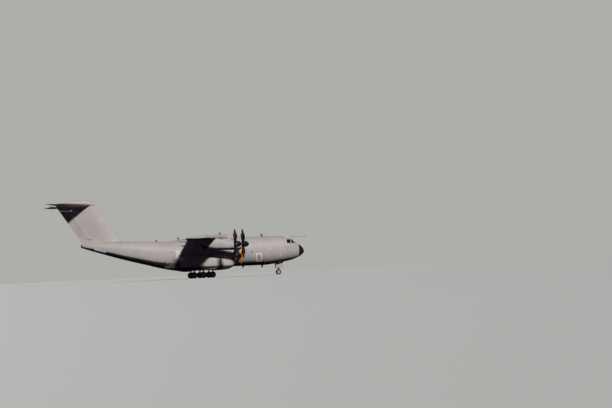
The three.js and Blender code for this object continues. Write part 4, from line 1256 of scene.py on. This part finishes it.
def blade_black(name, centre):
    """Black blade paint with a pale tip band at its radius from the hub."""
    finish = Finish(name, Specular_IOR_Level=0.25)
    y, z = finish.y - centre.y, finish.z - centre.z
    cloud, chips = finish.noise(3, 4), finish.noise(30, 5)
    color = finish.ramp(cloud, [(0.3, (0.012, 0.01, 0.014)), (0.7, (0.026, 0.022, 0.028))])
    color = finish.mix((chips > 0.68) * 0.4, color, (0.12, 0.11, 0.11))
    color = finish.mix((y * y + z * z > (PALE_TIP * SCALE) ** 2) * 0.9, color, (0.27, 0.17, 0.155))
    return finish.wear(Base_Color=color, Roughness=0.55 + 0.2 * cloud + 0.1 * chips, height=chips * 0.3)


def turned(name, outline, centre, axis, sides=48):
    """A body of revolution. The outline holds places along the axis and radii."""
    axis = Vector(axis)
    return loft(name, [ring(centre, axis, radius * SCALE, sides, along * SCALE) for along, radius in outline])


def blade_ring(row, centre, hand):
    radius, chord, thickness, lag, pitch = row
    c, s = math.cos(math.radians(pitch)), math.sin(math.radians(pitch))
    ring = []
    for i in range(28):
        turn = math.tau * i / 28
        along = -0.5 * math.cos(turn)
        across = 0.5 * math.sin(turn) * (1 - 0.55 * (along + 0.5)) * 0.95
        u, v = along * chord + lag, across * thickness
        ring.append(centre + Vector((v * c - u * s, hand * (u * c + v * s), radius)) * SCALE)
    return ring


def blade_rows():
    rows = [between(BLADE, r) for r in steps(0.4, 2.5, 0.07)]
    for turn in steps(0, math.pi / 2, math.pi / 10)[1:]:
        radius, chord, thickness, lag, pitch = between(BLADE, 2.5 + 0.165 * math.sin(turn))
        narrow = max(0.12, math.cos(turn) ** 0.6)
        rows.append([radius, chord * narrow, thickness * narrow, lag, pitch])
    return rows


cone = [
    (SPINNER.shoulder + (SPINNER.nose - SPINNER.shoulder) * t, SPINNER.radius * math.sqrt(1 - t ** SPINNER.bluntness))
    for t in [math.sin(math.pi / 2 * i / 14) for i in range(15)]
]
spinner_outline = [
    (-SPINNER.back, 0.2), (-SPINNER.back, SPINNER.radius - 0.02), (-SPINNER.back + 0.02, SPINNER.radius),
    (-0.16, SPINNER.radius), (-0.155, SPINNER.radius - 0.01), (-0.145, SPINNER.radius - 0.01),
    (-0.14, SPINNER.radius), *cone,
]
for name, y_hub, disc, axis_level in ENGINES:
    for side_name, side in SIDES:
        hand = side * (-1 if name == "inner" else 1)
        centre = place(disc, side * y_hub, axis_level)
        label = f"{name}_{side_name}"
        body = f"propeller_{label}"
        blades = [loft("blade", [blade_ring(row, centre, hand) for row in blade_rows()])]
        for i in range(1, BLADES):
            blades.append(duplicate(blades[0], "blade"))
            bpy.ops.transform.rotate(value=math.tau * i / BLADES, orient_axis="X", center_override=centre)
            close_edit()
        blade_paint = blade_black(f"blade_black_{label}", centre)
        fit(joined(f"blades_{label}", *blades), "blade_black", blade_paint, body=body, node=body, smooth=60)
        spinner = [turned("spinner", spinner_outline, centre, (1, 0, 0))]
        for i in range(BLADES):
            way = Vector((0, -math.sin(math.tau * i / BLADES), math.cos(math.tau * i / BLADES))) * SCALE
            spinner.append(rod("cuff", centre + way * 0.44, centre + way * 0.56, 0.15, 0.13, 24))
        spinner_grey = painted(f"spinner_grey_{label}", (0.008, 0.006, 0.01), 0.75, 60, Specular_IOR_Level=0.2)
        fit(joined(f"spinner_{label}", *spinner), "blade_black", spinner_grey, body=body)

# Fin and rudder.
# The fin stands on the tail of the fuselage, with a curved root ahead of it. Its rudder has a round nose
# in a matching hollow of the fin.

# Edges of the fin. Columns: h, d of the leading edge, d of the trailing edge.
FIN = [(4.6, 31.2, 38.45), (5.7, 32.45, 39.15), (11.8, 36.48, 43.14)]
FIN_RATIO = 0.105
RUDDER = Sizes(low=5.85, high=10.85, chord=2.1, room=0.12)
TAILPLANE = Sizes(lead=36.9, tip_lead=42.4, root_chord=6, tip_chord=2.7, half_span=9.5, level=11.82, ratio=0.105)
TAIL_TIP = Sizes(round=0.25, shrink=0.8, lean=1, rings=5)
# Bullet at the top of the fin. Columns: d, half width, depth below and height above the tailplane.
BULLET = [
    (36.35, 0.06, 0.1, 0.06),
    (37.2, 0.4, 0.46, 0.62),
    (38.6, 0.5, 0.6, 0.98),
    (40.6, 0.46, 0.58, 0.64),
    (42.4, 0.34, 0.44, 0.32),
    (44.3, 0.06, 0.08, 0.08),
]


def fin_row(h):
    """The fin's leading and trailing edge at a height."""
    if h <= FIN[1][0]:
        _, lead, trail = between(FIN, h)
        return lead, trail
    t = (h - FIN[1][0]) / (FIN[2][0] - FIN[1][0])
    return FIN[1][1] + (FIN[2][1] - FIN[1][1]) * t, FIN[1][2] + (FIN[2][2] - FIN[1][2]) * t


def fin_half(h, from_trail):
    lead, trail = fin_row(h)
    return share_at(1 - from_trail / (trail - lead)) * (trail - lead) * FIN_RATIO / 2


def raked(finish):
    return finish.x + finish.z * 0.62, finish.z


def rudder_core(gap):
    room = RUDDER.room if gap else 0
    low, high = RUDDER.low - room, RUDDER.high + room

    def hinge(h):
        return fin_row(h)[1] - RUDDER.chord

    def radius(h):
        return fin_half(h, RUDDER.chord) * HINGE_ROUND + gap

    core = prism("behind", [(hinge(low), low), (hinge(high), high), (50, high), (50, low)], -5, 5, upright=True)
    slab = prism("slab", [(-5, low), (-5, high), (60, high), (60, low)], -6, 6, upright=True)
    nose = rod("nose", place(hinge(low - 0.5), 0, low - 0.5), place(hinge(high + 0.5), 0, high + 0.5),
               radius(low), radius(high), 32)
    return welded(core, shared(nose, slab))


def tail_at(y):
    """The tailplane's leading edge, chord, level and thickness at y."""
    t = abs(y) / TAILPLANE.half_span
    chord = TAILPLANE.root_chord + (TAILPLANE.tip_chord - TAILPLANE.root_chord) * t
    lead = TAILPLANE.lead + (TAILPLANE.tip_lead - TAILPLANE.lead) * t
    return lead, chord, TAILPLANE.level, chord * TAILPLANE.ratio


def tail_solid(name, grow):
    """The tailplane's two halves and the bullet between them."""
    half_span, level = TAILPLANE.half_span, TAILPLANE.level
    rings = [aerofoil_ring(tail_at, y, grow) for y in steps(0, half_span - TAIL_TIP.round, 0.8)]
    tail = loft(name, rings + tip_rings(tail_at, half_span, TAIL_TIP, grow))
    welded(tail, mirrored(tail, "tail_right"))
    bullet = []
    for d in [36.35, 36.4, 36.5, 36.65, 36.85, *steps(37.1, 44.3, 0.2)]:
        _, half_width, depth, height = between(BULLET, d)
        bullet.append(section(d, 0, half_width + grow, level - depth - grow, level + height + grow, 2, 2, 40))
    return welded(tail, loft("bullet", bullet))


fin_paint = airframe_paint("fin_paint", frames=(0.5, 0.85), axes=raked)
fin_rings = []
for h in [*steps(4.6, 5.7, 0.1), *steps(6.1, 11.8, 0.5)]:
    lead, trail = fin_row(h)
    fin_rings.append([place(d, rise, h) for d, rise in aerofoil(lead, trail - lead, (trail - lead) * FIN_RATIO)])
fin = carve(seated(loft("fin_skin", fin_rings), 28, TAIL_END, 0.25), tail_solid("cap", SEAM))
rudder = called(release(fin, rudder_core, SWING), "rudder_skin")
fit(rudder, "airframe_paint", fin_paint, body="rudder", node="rudder")
fit(fin, "airframe_paint", fin_paint, node="fin")
seals = []
for low, high in ((RUDDER.low - RUDDER.room - 0.02, RUDDER.low - 0.03),
                  (RUDDER.high + 0.03, RUDDER.high + RUDDER.room + 0.02)):
    front = RUDDER.chord - 0.1
    outline = [(fin_row(h)[1] - back, h) for h, back in ((low, front), (low, 0.05), (high, 0.05), (high, front))]
    seals.append(prism("seal", outline, -0.02, 0.02, upright=True))
fit(joined("rudder_gap_seals", *seals), "airframe_paint", fin_paint)

# Tailplane and elevators.
# The tailplane sits on top of the fin under a long bullet fairing, and trims as a whole. An elevator is
# hinged at the rear of each half.
ELEVATOR = Sizes(inner=1.1, outer=9, hinge=0.7)
tail_paint = airframe_paint("tail_paint", frames=(0.45, 0.8), axes=swept)
elevator_core = hinged_core(tail_at, ELEVATOR, 2)
tailplane = tail_solid("tailplane_skin", 0)
elevator = release(tailplane, elevator_core, SWING)
core = elevator_core(SWING)
carve(tailplane, mirrored(core, "core_right"))
bpy.data.objects.remove(core)
fit_both(elevator, "elevator_skin", "airframe_paint", tail_paint, node="elevator", moves=True)
fit(tailplane, "airframe_paint", tail_paint, node="tailplane")

# Sponsons.
# A long pod on each side of the hold covers the main gear. It is a riveted shell on frames, open below as
# a well for the wheels, with an air intake at its front.

# Sections of the pod. Columns: d, middle y, half width, low h, high h.
SPONSON = [
    (12.4, 2.6, 0.12, 0.35, 0.85),
    (13.9, 2.9, 0.78, -0.4, 1.7),
    (15.6, 3.02, 1, -0.55, 2.15),
    (20.9, 3.02, 1, -0.6, 2.15),
    (22.4, 2.85, 0.72, -0.34, 1.7),
    (23.1, 2.75, 0.55, -0.22, 0.86),
    (24.9, 2.5, 0.12, 0.14, 0.56),
]
WELL = Sizes(front=16.05, rear=20.55, inner=2.42, outer=3.82, top=0.3)


def pod_axis(finish):
    return finish.x, (finish.z - place(0, 0, 0.8).z).turn(abs(finish.y) - 1.5) * 0.5


def pod_painted_shadow(finish, color):
    """A painted shadow over the rear cone, with one patch in it left lighter as painted light."""
    cone_shadow = finish.fade(finish.x, place(22.5, 0, 0).x, place(22.1, 0, 0).x, 0.93, 0.0, interpolation_type="SMOOTHSTEP")
    return finish.mix(cone_shadow - rectangle(finish, 22.75, 23.5, 0.12, 0.5) * 0.5, color, PAINTED_SHADE)


def well_block(inset, low):
    """The wheel well as a block, smaller by an inset on its sides and top."""
    return block(WELL.front + inset, WELL.rear - inset, WELL.inner + inset, WELL.outer - inset,
                 low, WELL.top - inset)


# The pod's faces that look down get painted shade, and its rear cone a painted shadow.
pod_paint = airframe_paint("pod_paint", frames=(0.5, 0.45), axes=pod_axis, marks=pod_painted_shadow, painted_shade=0.05)
pod = loft("sponson", [
    section(d, *row, 2.8, 2.4, 64)
    for d, *row in (between(SPONSON, d) for d in [12.4, 12.45, 12.55, *steps(12.7, 24.9, 0.18)])
])
carve(seated(pod, 10, 26, 0.3), well_block(0, -4), block(12.4, 13.9, 3.05, 3.35, 0.75, 1.1, 0.1))
liner = carve(well_block(0.002, -0.28), well_block(0.03, -1))
liner_ribs = [block(d, d + 0.05, WELL.inner + 0.02, WELL.outer - 0.02, 0.2, WELL.top - 0.02, 0.01)
              for d in (16.4, 17.5, 19.1, 20.2)]
gear_white = painted("gear_white", (0.58, 0.58, 0.56), 0.4, 30)
fit_both(pod, "sponson_skin", "airframe_paint", pod_paint, node="sponson")
fit_both(joined("liner", liner, *liner_ribs), "well_liner", "gear_paint", gear_white)

# Main landing gear legs.
# Three legs in a row under a beam on each side, in white paint: an outer cylinder with a bright sliding
# piston, a forked pair of torque links, a brace running forward, brake lines and the eye of the axle.
MAIN_WHEEL = Sizes(radius=0.545, width=0.39, offset=0.42, axle=0.07, y=3.12)
MAIN_AXLES = (("front", 16.7), ("middle", 18.3), ("rear", 19.9))
MAIN_LEG = Sizes(radius=0.11, end_radius=0.1, top=0.1, piston_radius=0.075, strut_end=0.2,
                eye=0.15, eye_half_width=0.1, brace_radius=0.05, brace_lead=0.45, brace_low=-0.7)
GEAR_BEAM = Sizes(half_width=0.16, low=0, end_room=0.1)
AXLE_ROOM = 0.01
FORWARD, SIDEWAYS, DOWN = (1, 0, 0), (0, 1, 0), (0, 0, -1)
AXLE_LEVEL = MAIN_WHEEL.radius - CLEARANCE
chrome = bare_metal("chrome", (0.62, 0.62, 0.63), 0.12)
hose_rubber = rubber("hose_rubber")


def eye_bearing(centre, radius, half_width, bore):
    """A turned ring for an axle, with a flange on each side."""
    half = [(half_width, radius - 0.015), (half_width - 0.015, radius), (half_width - 0.05, radius),
            (half_width - 0.055, radius - 0.02)]
    eye = turned("eye", [(-a, r) for a, r in half] + half[::-1], centre, SIDEWAYS, 36)
    aside = Vector(SIDEWAYS) * SCALE
    return carve(eye, rod("bore", centre - aside, centre + aside, bore, sides=32))


def torque_links(d, y, top, low, reach):
    """Two hinged arms behind a piston that keep it from turning."""
    middle = (top + low) / 2
    links = []
    for level in (top, low):
        for k in (1, -1):
            root, knee = place(d + 0.08, y + k * 0.07, level), place(d + reach, y + k * 0.025, middle)
            links.append(rod("link", root, knee, 0.022, 0.016, 10))
    for at, h, half in ((d + 0.08, top, 0.09), (d + 0.08, low, 0.09), (d + reach, middle, 0.045)):
        links.append(pin(at, y, h, half, 0.025, 12))
    return joined("links", *links)


leg_y = MAIN_WHEEL.y
top, strut_low = MAIN_LEG.top, AXLE_LEVEL + MAIN_LEG.strut_end
strut_outline = [
    (0, 0.13), (0.06, 0.13), (0.09, MAIN_LEG.radius), (0.5, MAIN_LEG.radius), (0.52, 0.12), (0.58, 0.12),
    (0.6, MAIN_LEG.end_radius), (top - strut_low - 0.12, MAIN_LEG.end_radius),
    (top - strut_low - 0.1, 0.115), (top - strut_low, 0.11),
]
hose_bends = [(0.12, 0), (0.125, -0.5), (0.14, -0.9), (0.16, -1.02), (0.13, -1.12), (0.08, -1.15)]
beam = block(WELL.front + GEAR_BEAM.end_room, WELL.rear - GEAR_BEAM.end_room, leg_y - GEAR_BEAM.half_width,
             leg_y + GEAR_BEAM.half_width, GEAR_BEAM.low, WELL.top - 0.04, 0.02)
first_d = MAIN_AXLES[0][1]
leg = joined(
    "leg",
    turned("strut", strut_outline, place(first_d, leg_y, top), DOWN, 32),
    rod("brace", place(first_d - MAIN_LEG.brace_lead, leg_y, top), place(first_d - 0.06, leg_y, MAIN_LEG.brace_low),
        MAIN_LEG.brace_radius, 0.04),
    pin(first_d - 0.08, leg_y, MAIN_LEG.brace_low, 0.1, 0.035, 16),
    eye_bearing(place(first_d, leg_y, AXLE_LEVEL), MAIN_LEG.eye, MAIN_LEG.eye_half_width,
                MAIN_WHEEL.axle + AXLE_ROOM),
    torque_links(first_d, leg_y, -0.72, AXLE_LEVEL + 0.13, 0.24),
)
piston = rod("piston", place(first_d, leg_y, strut_low + 0.02), place(first_d, leg_y, AXLE_LEVEL + 0.12),
             MAIN_LEG.piston_radius, sides=32)
hose = pipe("hose", [place(first_d - lead, leg_y + 0.05, h) for lead, h in hose_bends], 0.012, 8)
ways = [place(d, 0, 0) - place(first_d, 0, 0) for _, d in MAIN_AXLES]
frames = joined("frames", beam, *repeated(leg, ways))
fit_both(frames, "main_leg_frames", "gear_paint", gear_white, node="main_gear_legs")
fit_both(joined("pistons", *repeated(piston, ways)), "main_leg_pistons", "probe_metal", chrome)
fit_both(joined("hoses", *repeated(hose, ways)), "main_leg_hoses", "tyres", hose_rubber)

# Main wheels.
# Two wheels on one axle at each leg: grooved tyres on split alloy rims, each with a ring of bolts and a
# hub cap.


def tyre_outline(radius, width, rim):
    """A tyre's section: from its bead over the side wall to the grooved tread and back."""
    half = width / 2
    wall = [(-half * 0.72, rim), (-half * 0.9, rim + 0.02), (-half, rim + (radius - rim) * 0.35),
            (-half * 0.99, rim + (radius - rim) * 0.62), (-half * 0.9, radius * 0.93), (-half * 0.74, radius * 0.975)]
    tread = []
    for k in (-0.5, -0.17, 0.17, 0.5):
        edge = radius * (1 - 0.012 * abs(k))
        groove = ((-0.014, 0), (-0.011, 0.014), (0.011, 0.014), (0.014, 0))
        tread += [(k * half + a, edge - depth) for a, depth in groove]
    tread.insert(8, (0, radius))
    return wall + tread + [(-a, r) for a, r in reversed(wall)]


BOLTS = 12
# A rim's section. Columns: share of the half width, share of the rim's radius.
RIM = [
    (-0.6, 0.8), (-0.8, 0.95), (-0.86, 1.06), (-0.7, 1.0), (0.7, 1.0), (0.86, 1.06), (0.8, 0.95),
    (0.62, 0.86), (0.42, 0.7), (0.42, 0.42), (0.72, 0.34), (0.78, 0.3),
]


def wheel_pair(d, level, wheel):
    """The tyres and the rims of a pair of wheels on the centre line."""
    rim, half = wheel.radius * 0.52, wheel.width / 2
    rim_outline = [(-half * 0.6, 0.08), *((half * a, rim * r) for a, r in RIM), (half * 0.8, 0.02)]
    tyres, rims = [], []
    for side in (1, -1):
        centre, out = place(d, side * wheel.offset, level), Vector((0, side, 0))
        tyre = turned("tyre", tyre_outline(wheel.radius, wheel.width, rim), centre, out, 64)
        tyres.append(carve(tyre, rod("bead", centre - out, centre + out, rim, sides=64)))
        rims.append(turned("rim", rim_outline, centre, out, 48))
        foot, head = wheel.width * 0.19 * SCALE, (wheel.width * 0.21 + 0.02) * SCALE
        bolt = rod("bolt", centre + out * foot, centre + out * head, 0.014, sides=6)
        turns = [math.tau * i / BOLTS for i in range(BOLTS)]
        rims += repeated(bolt, [Vector((math.cos(a), 0, math.sin(a))) * rim * 0.58 * SCALE for a in turns])
    rims.append(pin(d, 0, level, wheel.offset, wheel.axle, 32))
    return joined("tyres", *tyres), joined("rims", *rims)


rim_paint = painted("rim_paint", (0.5, 0.5, 0.49), 0.45, 30)
finish = Finish("tyre_rubber")
dust, speck = finish.noise(8, 5), finish.noise(60, 3)
tyre_rubber = finish.plain(dust, (0.016, 0.016, 0.017), (0.04, 0.038, 0.036), 0.35,
                           Roughness=0.75 + 0.15 * speck, height=speck * 0.6)
tyres, rims = wheel_pair(first_d, AXLE_LEVEL, MAIN_WHEEL)
for name, d in MAIN_AXLES:
    for side_name, side in SIDES:
        label = f"{name}_{side_name}"
        body = f"main_wheels_{label}"
        move = place(d, side * leg_y, 0) - place(first_d, 0, 0)
        fit(moved_copy(tyres, f"tyres_{label}", move), "tyres", tyre_rubber, body=body, node=body)
        fit(moved_copy(rims, f"rims_{label}", move), "gear_paint", rim_paint, body=body)
bpy.data.objects.remove(tyres)
bpy.data.objects.remove(rims)

# Nose landing gear.
# A fixed leg with a drag brace in the nose bay. The steered part below its collar is a bright piston with
# torque links, an axle eye and two taxi lamps, and carries two wheels.
NOSE_WHEEL = Sizes(radius=0.45, width=0.31, offset=0.32, axle=0.06, d=4.7)
NOSE_LEG = Sizes(low=-0.62, piston=0.085, eye=0.13, eye_half_width=0.09)
NOSE_COLLAR = Sizes(radius=0.1625, height=0.12)
NOSE_BRACE = Sizes(lead=0.75, low=-0.35, drop=0.09)
nose_d, nose_axle = NOSE_WHEEL.d, NOSE_WHEEL.radius - CLEARANCE
brace_d = nose_d - NOSE_BRACE.lead
leg_top = NOSE_BAY.top - 0.001
leg_length = leg_top - NOSE_LEG.low
leg_parts = [
    turned("leg", [(0, 0.13), (0.1, 0.13), (0.12, 0.12), (0.7, 0.12), (0.72, 0.13), (0.8, 0.13), (0.82, 0.118),
                   (leg_length - 0.1, 0.118), (leg_length - 0.08, 0.13), (leg_length, 0.13)],
           place(nose_d, 0, leg_top), DOWN, 32),
    *(rod("brace", place(brace_d, side * 0.14, NOSE_BAY.top - NOSE_BRACE.drop),
          place(nose_d - 0.1, side * 0.05, NOSE_BRACE.low), 0.045, 0.035) for side in (1, -1)),
    pin(nose_d - 0.11, 0, NOSE_BRACE.low, 0.09, 0.04),
    block(brace_d - 0.1, brace_d + 0.1, -0.25, 0.25, NOSE_BAY.top - 0.15, leg_top, 0.02),
    pin(nose_d, 0, NOSE_BAY.top - 0.14, 0.4, 0.06),
]
fit(joined("nose_leg_frame", *leg_parts), "gear_paint", gear_white, node="nose_gear_leg")
collar_top = NOSE_LEG.low - SWING / 3
collar_low = collar_top - NOSE_COLLAR.height
rim_radius = NOSE_COLLAR.radius
fork_parts = [
    turned("collar", [(0, 0.15), (0.01, rim_radius), (0.11, rim_radius), (NOSE_COLLAR.height, 0.15)],
           place(nose_d, 0, collar_top), DOWN, 36),
    eye_bearing(place(nose_d, 0, nose_axle), NOSE_LEG.eye, NOSE_LEG.eye_half_width, NOSE_WHEEL.axle + AXLE_ROOM),
    torque_links(nose_d, 0, collar_low + 0.05, nose_axle + 0.12, 0.22),
    *(block(nose_d - 0.25, nose_d - 0.13, side * 0.05, side * 0.18, collar_low - 0.02, collar_top - 0.03, 0.02)
      for side in (1, -1)),
]
fit(joined("nose_fork_frame", *fork_parts), "gear_paint", gear_white, body="nose_gear_fork", node="nose_gear_fork")
nose_piston = rod("nose_piston", place(nose_d, 0, collar_low + 0.02), place(nose_d, 0, nose_axle + 0.1),
                  NOSE_LEG.piston, sides=32)
fit(nose_piston, "probe_metal", chrome, body="nose_gear_fork")


def lamp_glass(name, color, glow):
    finish = Finish(name, Coat_Weight=1.0, Emission_Strength=glow, Emission_Color=(*color, 1))
    ribs = finish.noise(30, 2)
    return finish.plain(ribs, tint(color, 0.75), color, Roughness=0.08 + 0.1 * ribs, height=ribs * 0.3)


clear_lens = lamp_glass("clear_lens", (0.75, 0.78, 0.8), 0.3)
lamps = [turned("lamp", [(0, 0.03), (0.02, 0.052), (0.035, 0.055), (0.045, 0.045), (0.05, 0.01)],
                place(nose_d - 0.245, y, collar_low + 0.035), FORWARD, 24) for y in (0.115, -0.115)]
fit(joined("taxi_lamps", *lamps), "glazing", clear_lens, body="nose_gear_fork")
tyres, rims = wheel_pair(nose_d, nose_axle, NOSE_WHEEL)
fit(called(tyres, "nose_tyres"), "tyres", tyre_rubber, body="nose_wheels", node="nose_wheels")
fit(called(rims, "nose_rims"), "gear_paint", rim_paint, body="nose_wheels")

# Nose gear doors.
# Two thin doors hang open beside the nose leg. Each is a pan that is cut to meet the skin, with ribs on
# its inner face.
NOSE_DOOR = Sizes(front=3.85, rear=5.2, low=-0.6, high=0.45, thickness=0.05, gap=0.03)
inner = NOSE_BAY.half_width + NOSE_DOOR.gap
door_pan = block(NOSE_DOOR.front, NOSE_DOOR.rear, inner, inner + NOSE_DOOR.thickness,
                 NOSE_DOOR.low, NOSE_DOOR.high, 0.012)
seated(door_pan, 3, 6, 0.1)
ribs = [(d, d + 0.05, NOSE_DOOR.low + 0.08, 0.15) for d in (4.0, 4.45, 4.9)]
ribs += [(NOSE_DOOR.front + 0.1, NOSE_DOOR.rear - 0.1, h, h + 0.04) for h in (-0.5, -0.15)]
door_ribs = [block(front, rear, inner - 0.02, inner + 0.02, low, high, 0.006) for front, rear, low, high in ribs]
door_paint = airframe_paint("door_paint", frames=(0.7, 0.6))
fit_both(door_pan, "nose_door_pan", "airframe_paint", door_paint, node="nose_gear_door")
fit_both(joined("door_ribs", *door_ribs), "nose_door_ribs", "gear_paint", gear_white)

# Refuelling probe.
# A long tube over the right of the cockpit, carried by a low fairing on the crown, with a valve and a
# conical nozzle at its front.
PROBE_Y = -0.35
# The tube's centre line. Columns: d, h, radius.
PROBE = [(3.6, 4.93, 0.07), (2.6, 4.86, 0.068), (1.4, 4.775, 0.064), (0.3, 4.7, 0.06), (-0.05, 4.675, 0.057)]
NOZZLE = [(0, 0.06), (0.01, 0.091), (0.07, 0.091), (0.08, 0.075), (0.12, 0.075), (0.13, 0.088),
          (0.18, 0.085), (0.26, 0.062), (0.3, 0.042), (0.34, 0.03)]
probe_tube = loft("probe_tube", [
    [place(d, PROBE_Y + r * math.cos(math.tau * i / 24), h + r * math.sin(math.tau * i / 24)) for i in range(24)]
    for d, h, r in PROBE
])
nozzle = turned("probe_nozzle", NOZZLE, place(-0.06, PROBE_Y, 4.67), FORWARD, 32)
saddle = loft("probe_saddle", [
    section(d, PROBE_Y, 0.02 + 0.11 * w, 4.2, 4.72 + 0.26 * w, 2.2, 2.2, 28)
    for d, w in ((2.35, 0.05), (2.5, 0.4), (2.8, 0.8), (3.2, 1.0), (3.6, 0.95), (4.0, 0.6), (4.3, 0.2), (4.45, 0.02))
])
probe_grey = painted("probe_grey", (0.42, 0.39, 0.375), 0.45)
fit(seated(probe_tube, 1.1, 5, 0.15), "probe_metal", probe_grey, node="refuelling_probe")
fit(nozzle, "probe_metal", engine_steel)
fit(seated(saddle, 1.6, 6, 0.15), "airframe_paint", composite_paint)

# Antennas.
# Small swept blades of black composite, screwed to the crown and the belly on the centre line. They lean
# aft and are thinner and narrower towards their tips.

# Columns: d of the foot, height, chord at the foot, and 1 above or -1 below.
ANTENNAS = [
    (7.15, 0.52, 0.42, 1),
    (21.9, 0.42, 0.36, 1),
    (25.7, 0.34, 0.4, 1),
    (7.3, 0.45, 0.4, -1),
    (10.7, 0.4, 0.36, -1),
]
antenna_black = painted("antenna_black", (0.03, 0.03, 0.034), 0.5)
blades = []
for d, height, chord, way in ANTENNAS:
    _, keel, crown, _, _ = hull_row(d)
    foot = crown - 0.03 if way > 0 else keel + 0.03
    if way > 0 and FAIRING[0][0] < d < FAIRING[-1][0]:
        foot = max(foot, between(FAIRING, d)[3] - 0.05)
    rings = []
    for t in (0, 0.3, 0.7, 0.92, 1.0):
        length = chord * (1 - 0.55 * t) * (1 if t < 1 else 0.7)
        lead = d + chord * 0.6 * t + (0 if t < 1 else length * 0.2)
        thick = 0.06 * (1 - 0.5 * t) * (1 if t < 1 else 0.4)
        rings.append([place(a, rise, foot + way * height * t) for a, rise in aerofoil(lead, length, thick)])
    blades.append(loft("blade", rings))
fit(joined("antenna_blades", *blades), "composite_paint", antenna_black)

# Lights and static wicks.
# Red and green lamps at the wing tips, a clear one at the tail, red beacons on the spine and the belly, and
# thin carbon wicks at the trailing edges that let charge leak into the air.
red_lens = lamp_glass("red_lens", (0.5, 0.015, 0.01), 0.15)
green_lens = lamp_glass("green_lens", (0.01, 0.32, 0.06), 0.15)
lead, _, level, _ = wing_at(20.95)
for side_name, y, lens in (("left", 20.98, red_lens), ("right", -20.98, green_lens)):
    lamp = loft(f"tip_lamp_{side_name}", [
        section(lead + 0.1 + s, y, 0.02 + 0.09 * w, level - 0.012 - 0.075 * w, level + 0.012 + 0.075 * w, 2, 2, 20)
        for s, w in ((0.0, 0.1), (0.05, 0.5), (0.14, 0.85), (0.26, 1.0), (0.4, 0.9), (0.5, 0.6))
    ])
    fit(lamp, "glazing", lens)
BEACON = [(-0.05, 0.11), (0.02, 0.1), (0.06, 0.085), (0.1, 0.055), (0.115, 0.02)]
beacons = [turned("beacon", BEACON, place(17, 0, 5.68), (0, 0, 1), 28),
           turned("beacon", BEACON, place(13, 0, 0), DOWN, 28)]
fit(joined("beacons", *beacons), "glazing", red_lens)
TAIL_LAMP = [(0, 0.05), (0.03, 0.048), (0.06, 0.035), (0.07, 0.01)]
fit(turned("tail_lamp", TAIL_LAMP, place(44.24, 0, TAILPLANE.level), (-1, 0, 0), 20), "glazing", clear_lens)


def trailing_edge(shape, y, side):
    """A place on the trailing edge of a wing or the tailplane."""
    lead, chord, level, _ = shape(y)
    return place(lead + chord, side * y, level)


wick_sets = {"airframe": [trailing_edge(wing_at, 20.7, side) for _, side in SIDES]}
for name, side in SIDES:
    wick_sets[f"aileron_{name}"] = [trailing_edge(wing_at, y, side) for y in (16.2, 17.3, 18.4, 19.5, 20.2)]
    wick_sets[f"elevator_{name}"] = [trailing_edge(tail_at, y, side) for y in (5, 6.2, 7.4, 8.6)]
wick_sets["rudder"] = [place(fin_row(h)[1], 0, h) for h in (7.5, 8.6, 9.7, 10.6)]
for body, roots in wick_sets.items():
    wick = rod("wick", place(-0.05, 0, 0), place(0.16, 0, 0), 0.009, 0.005, 6)
    wicks = repeated(wick, [root - place(0, 0, 0) for root in roots])
    fit(joined(f"wicks_{body}", *wicks), "composite_paint", antenna_black, body=body)

# Studio.
# A pale matte floor and sky of one soft grey, a key sun high on the camera's side, a weak fill sun from the
# left, and a camera at floor level that looks up at the right side from slightly behind the nose.
CAMERA = Sizes(distance=160.0, height=0.28, azimuth=-4.981, yaw=-4.091, pitch=2.069, roll=-2.664)
FOCAL_PIXELS = 1825.4
IMAGE_WIDTH = 612
SKY = (0.423, 0.429, 0.402)
SKY_LIGHT = (0.02, 0.0165, 0.03)

finish = Finish("floor_paper")
cloud = finish.noise(0.02, 3)
bpy.ops.mesh.primitive_plane_add(size=4000)
floor = called(bpy.context.object, "floor")
floor_paper = finish.plain(cloud, (0.548, 0.556, 0.522), (0.566, 0.574, 0.54), Roughness=0.8 + 0.1 * cloud)
floor.data.materials.append(floor_paper)
floor.visible_diffuse = False
floor.visible_glossy = False

world = bpy.data.worlds.new("studio")
bpy.context.scene.world = world
world.use_nodes = True
light_path = world.node_tree.nodes.new("ShaderNodeLightPath")
sky = world.node_tree.nodes.new("ShaderNodeMix")
sky.data_type = "RGBA"
sky.inputs[6].default_value = (*SKY_LIGHT, 1)
sky.inputs[7].default_value = (*SKY, 1)
world.node_tree.links.new(light_path.outputs["Is Camera Ray"], sky.inputs[0])
world.node_tree.links.new(sky.outputs[2], world.node_tree.nodes["Background"].inputs["Color"])

for name, energy, way in (("key_light", 3.1, (-0.44, 1.57, -1)), ("fill_light", 1.5, (0.5, -1.6, -0.75))):
    bpy.ops.object.light_add(type="SUN")
    lamp = bpy.context.object
    lamp.name = name
    lamp.data.energy = energy
    lamp.data.angle = math.radians(5)
    lamp.rotation_euler = Vector(way).to_track_quat("-Z", "Y").to_euler()

bpy.ops.object.camera_add()
camera = bpy.context.object
camera.name = "camera"
camera.data.angle = 2 * math.atan(IMAGE_WIDTH / 2 / FOCAL_PIXELS)
camera.data.clip_end = 5000
heading = math.radians(CAMERA.azimuth)
spot = Vector((math.sin(heading), -math.cos(heading), 0)) * CAMERA.distance
camera.matrix_world = (
    Matrix.Translation((spot.x, spot.y, CAMERA.height))
    @ Matrix.Rotation(heading + math.radians(CAMERA.yaw), 4, "Z")
    @ Matrix.Rotation(math.radians(90 + CAMERA.pitch), 4, "X")
    @ Matrix.Rotation(math.radians(CAMERA.roll), 4, "Z")
)
bpy.context.scene.camera = camera
bpy.context.scene.view_settings.view_transform = "Standard"
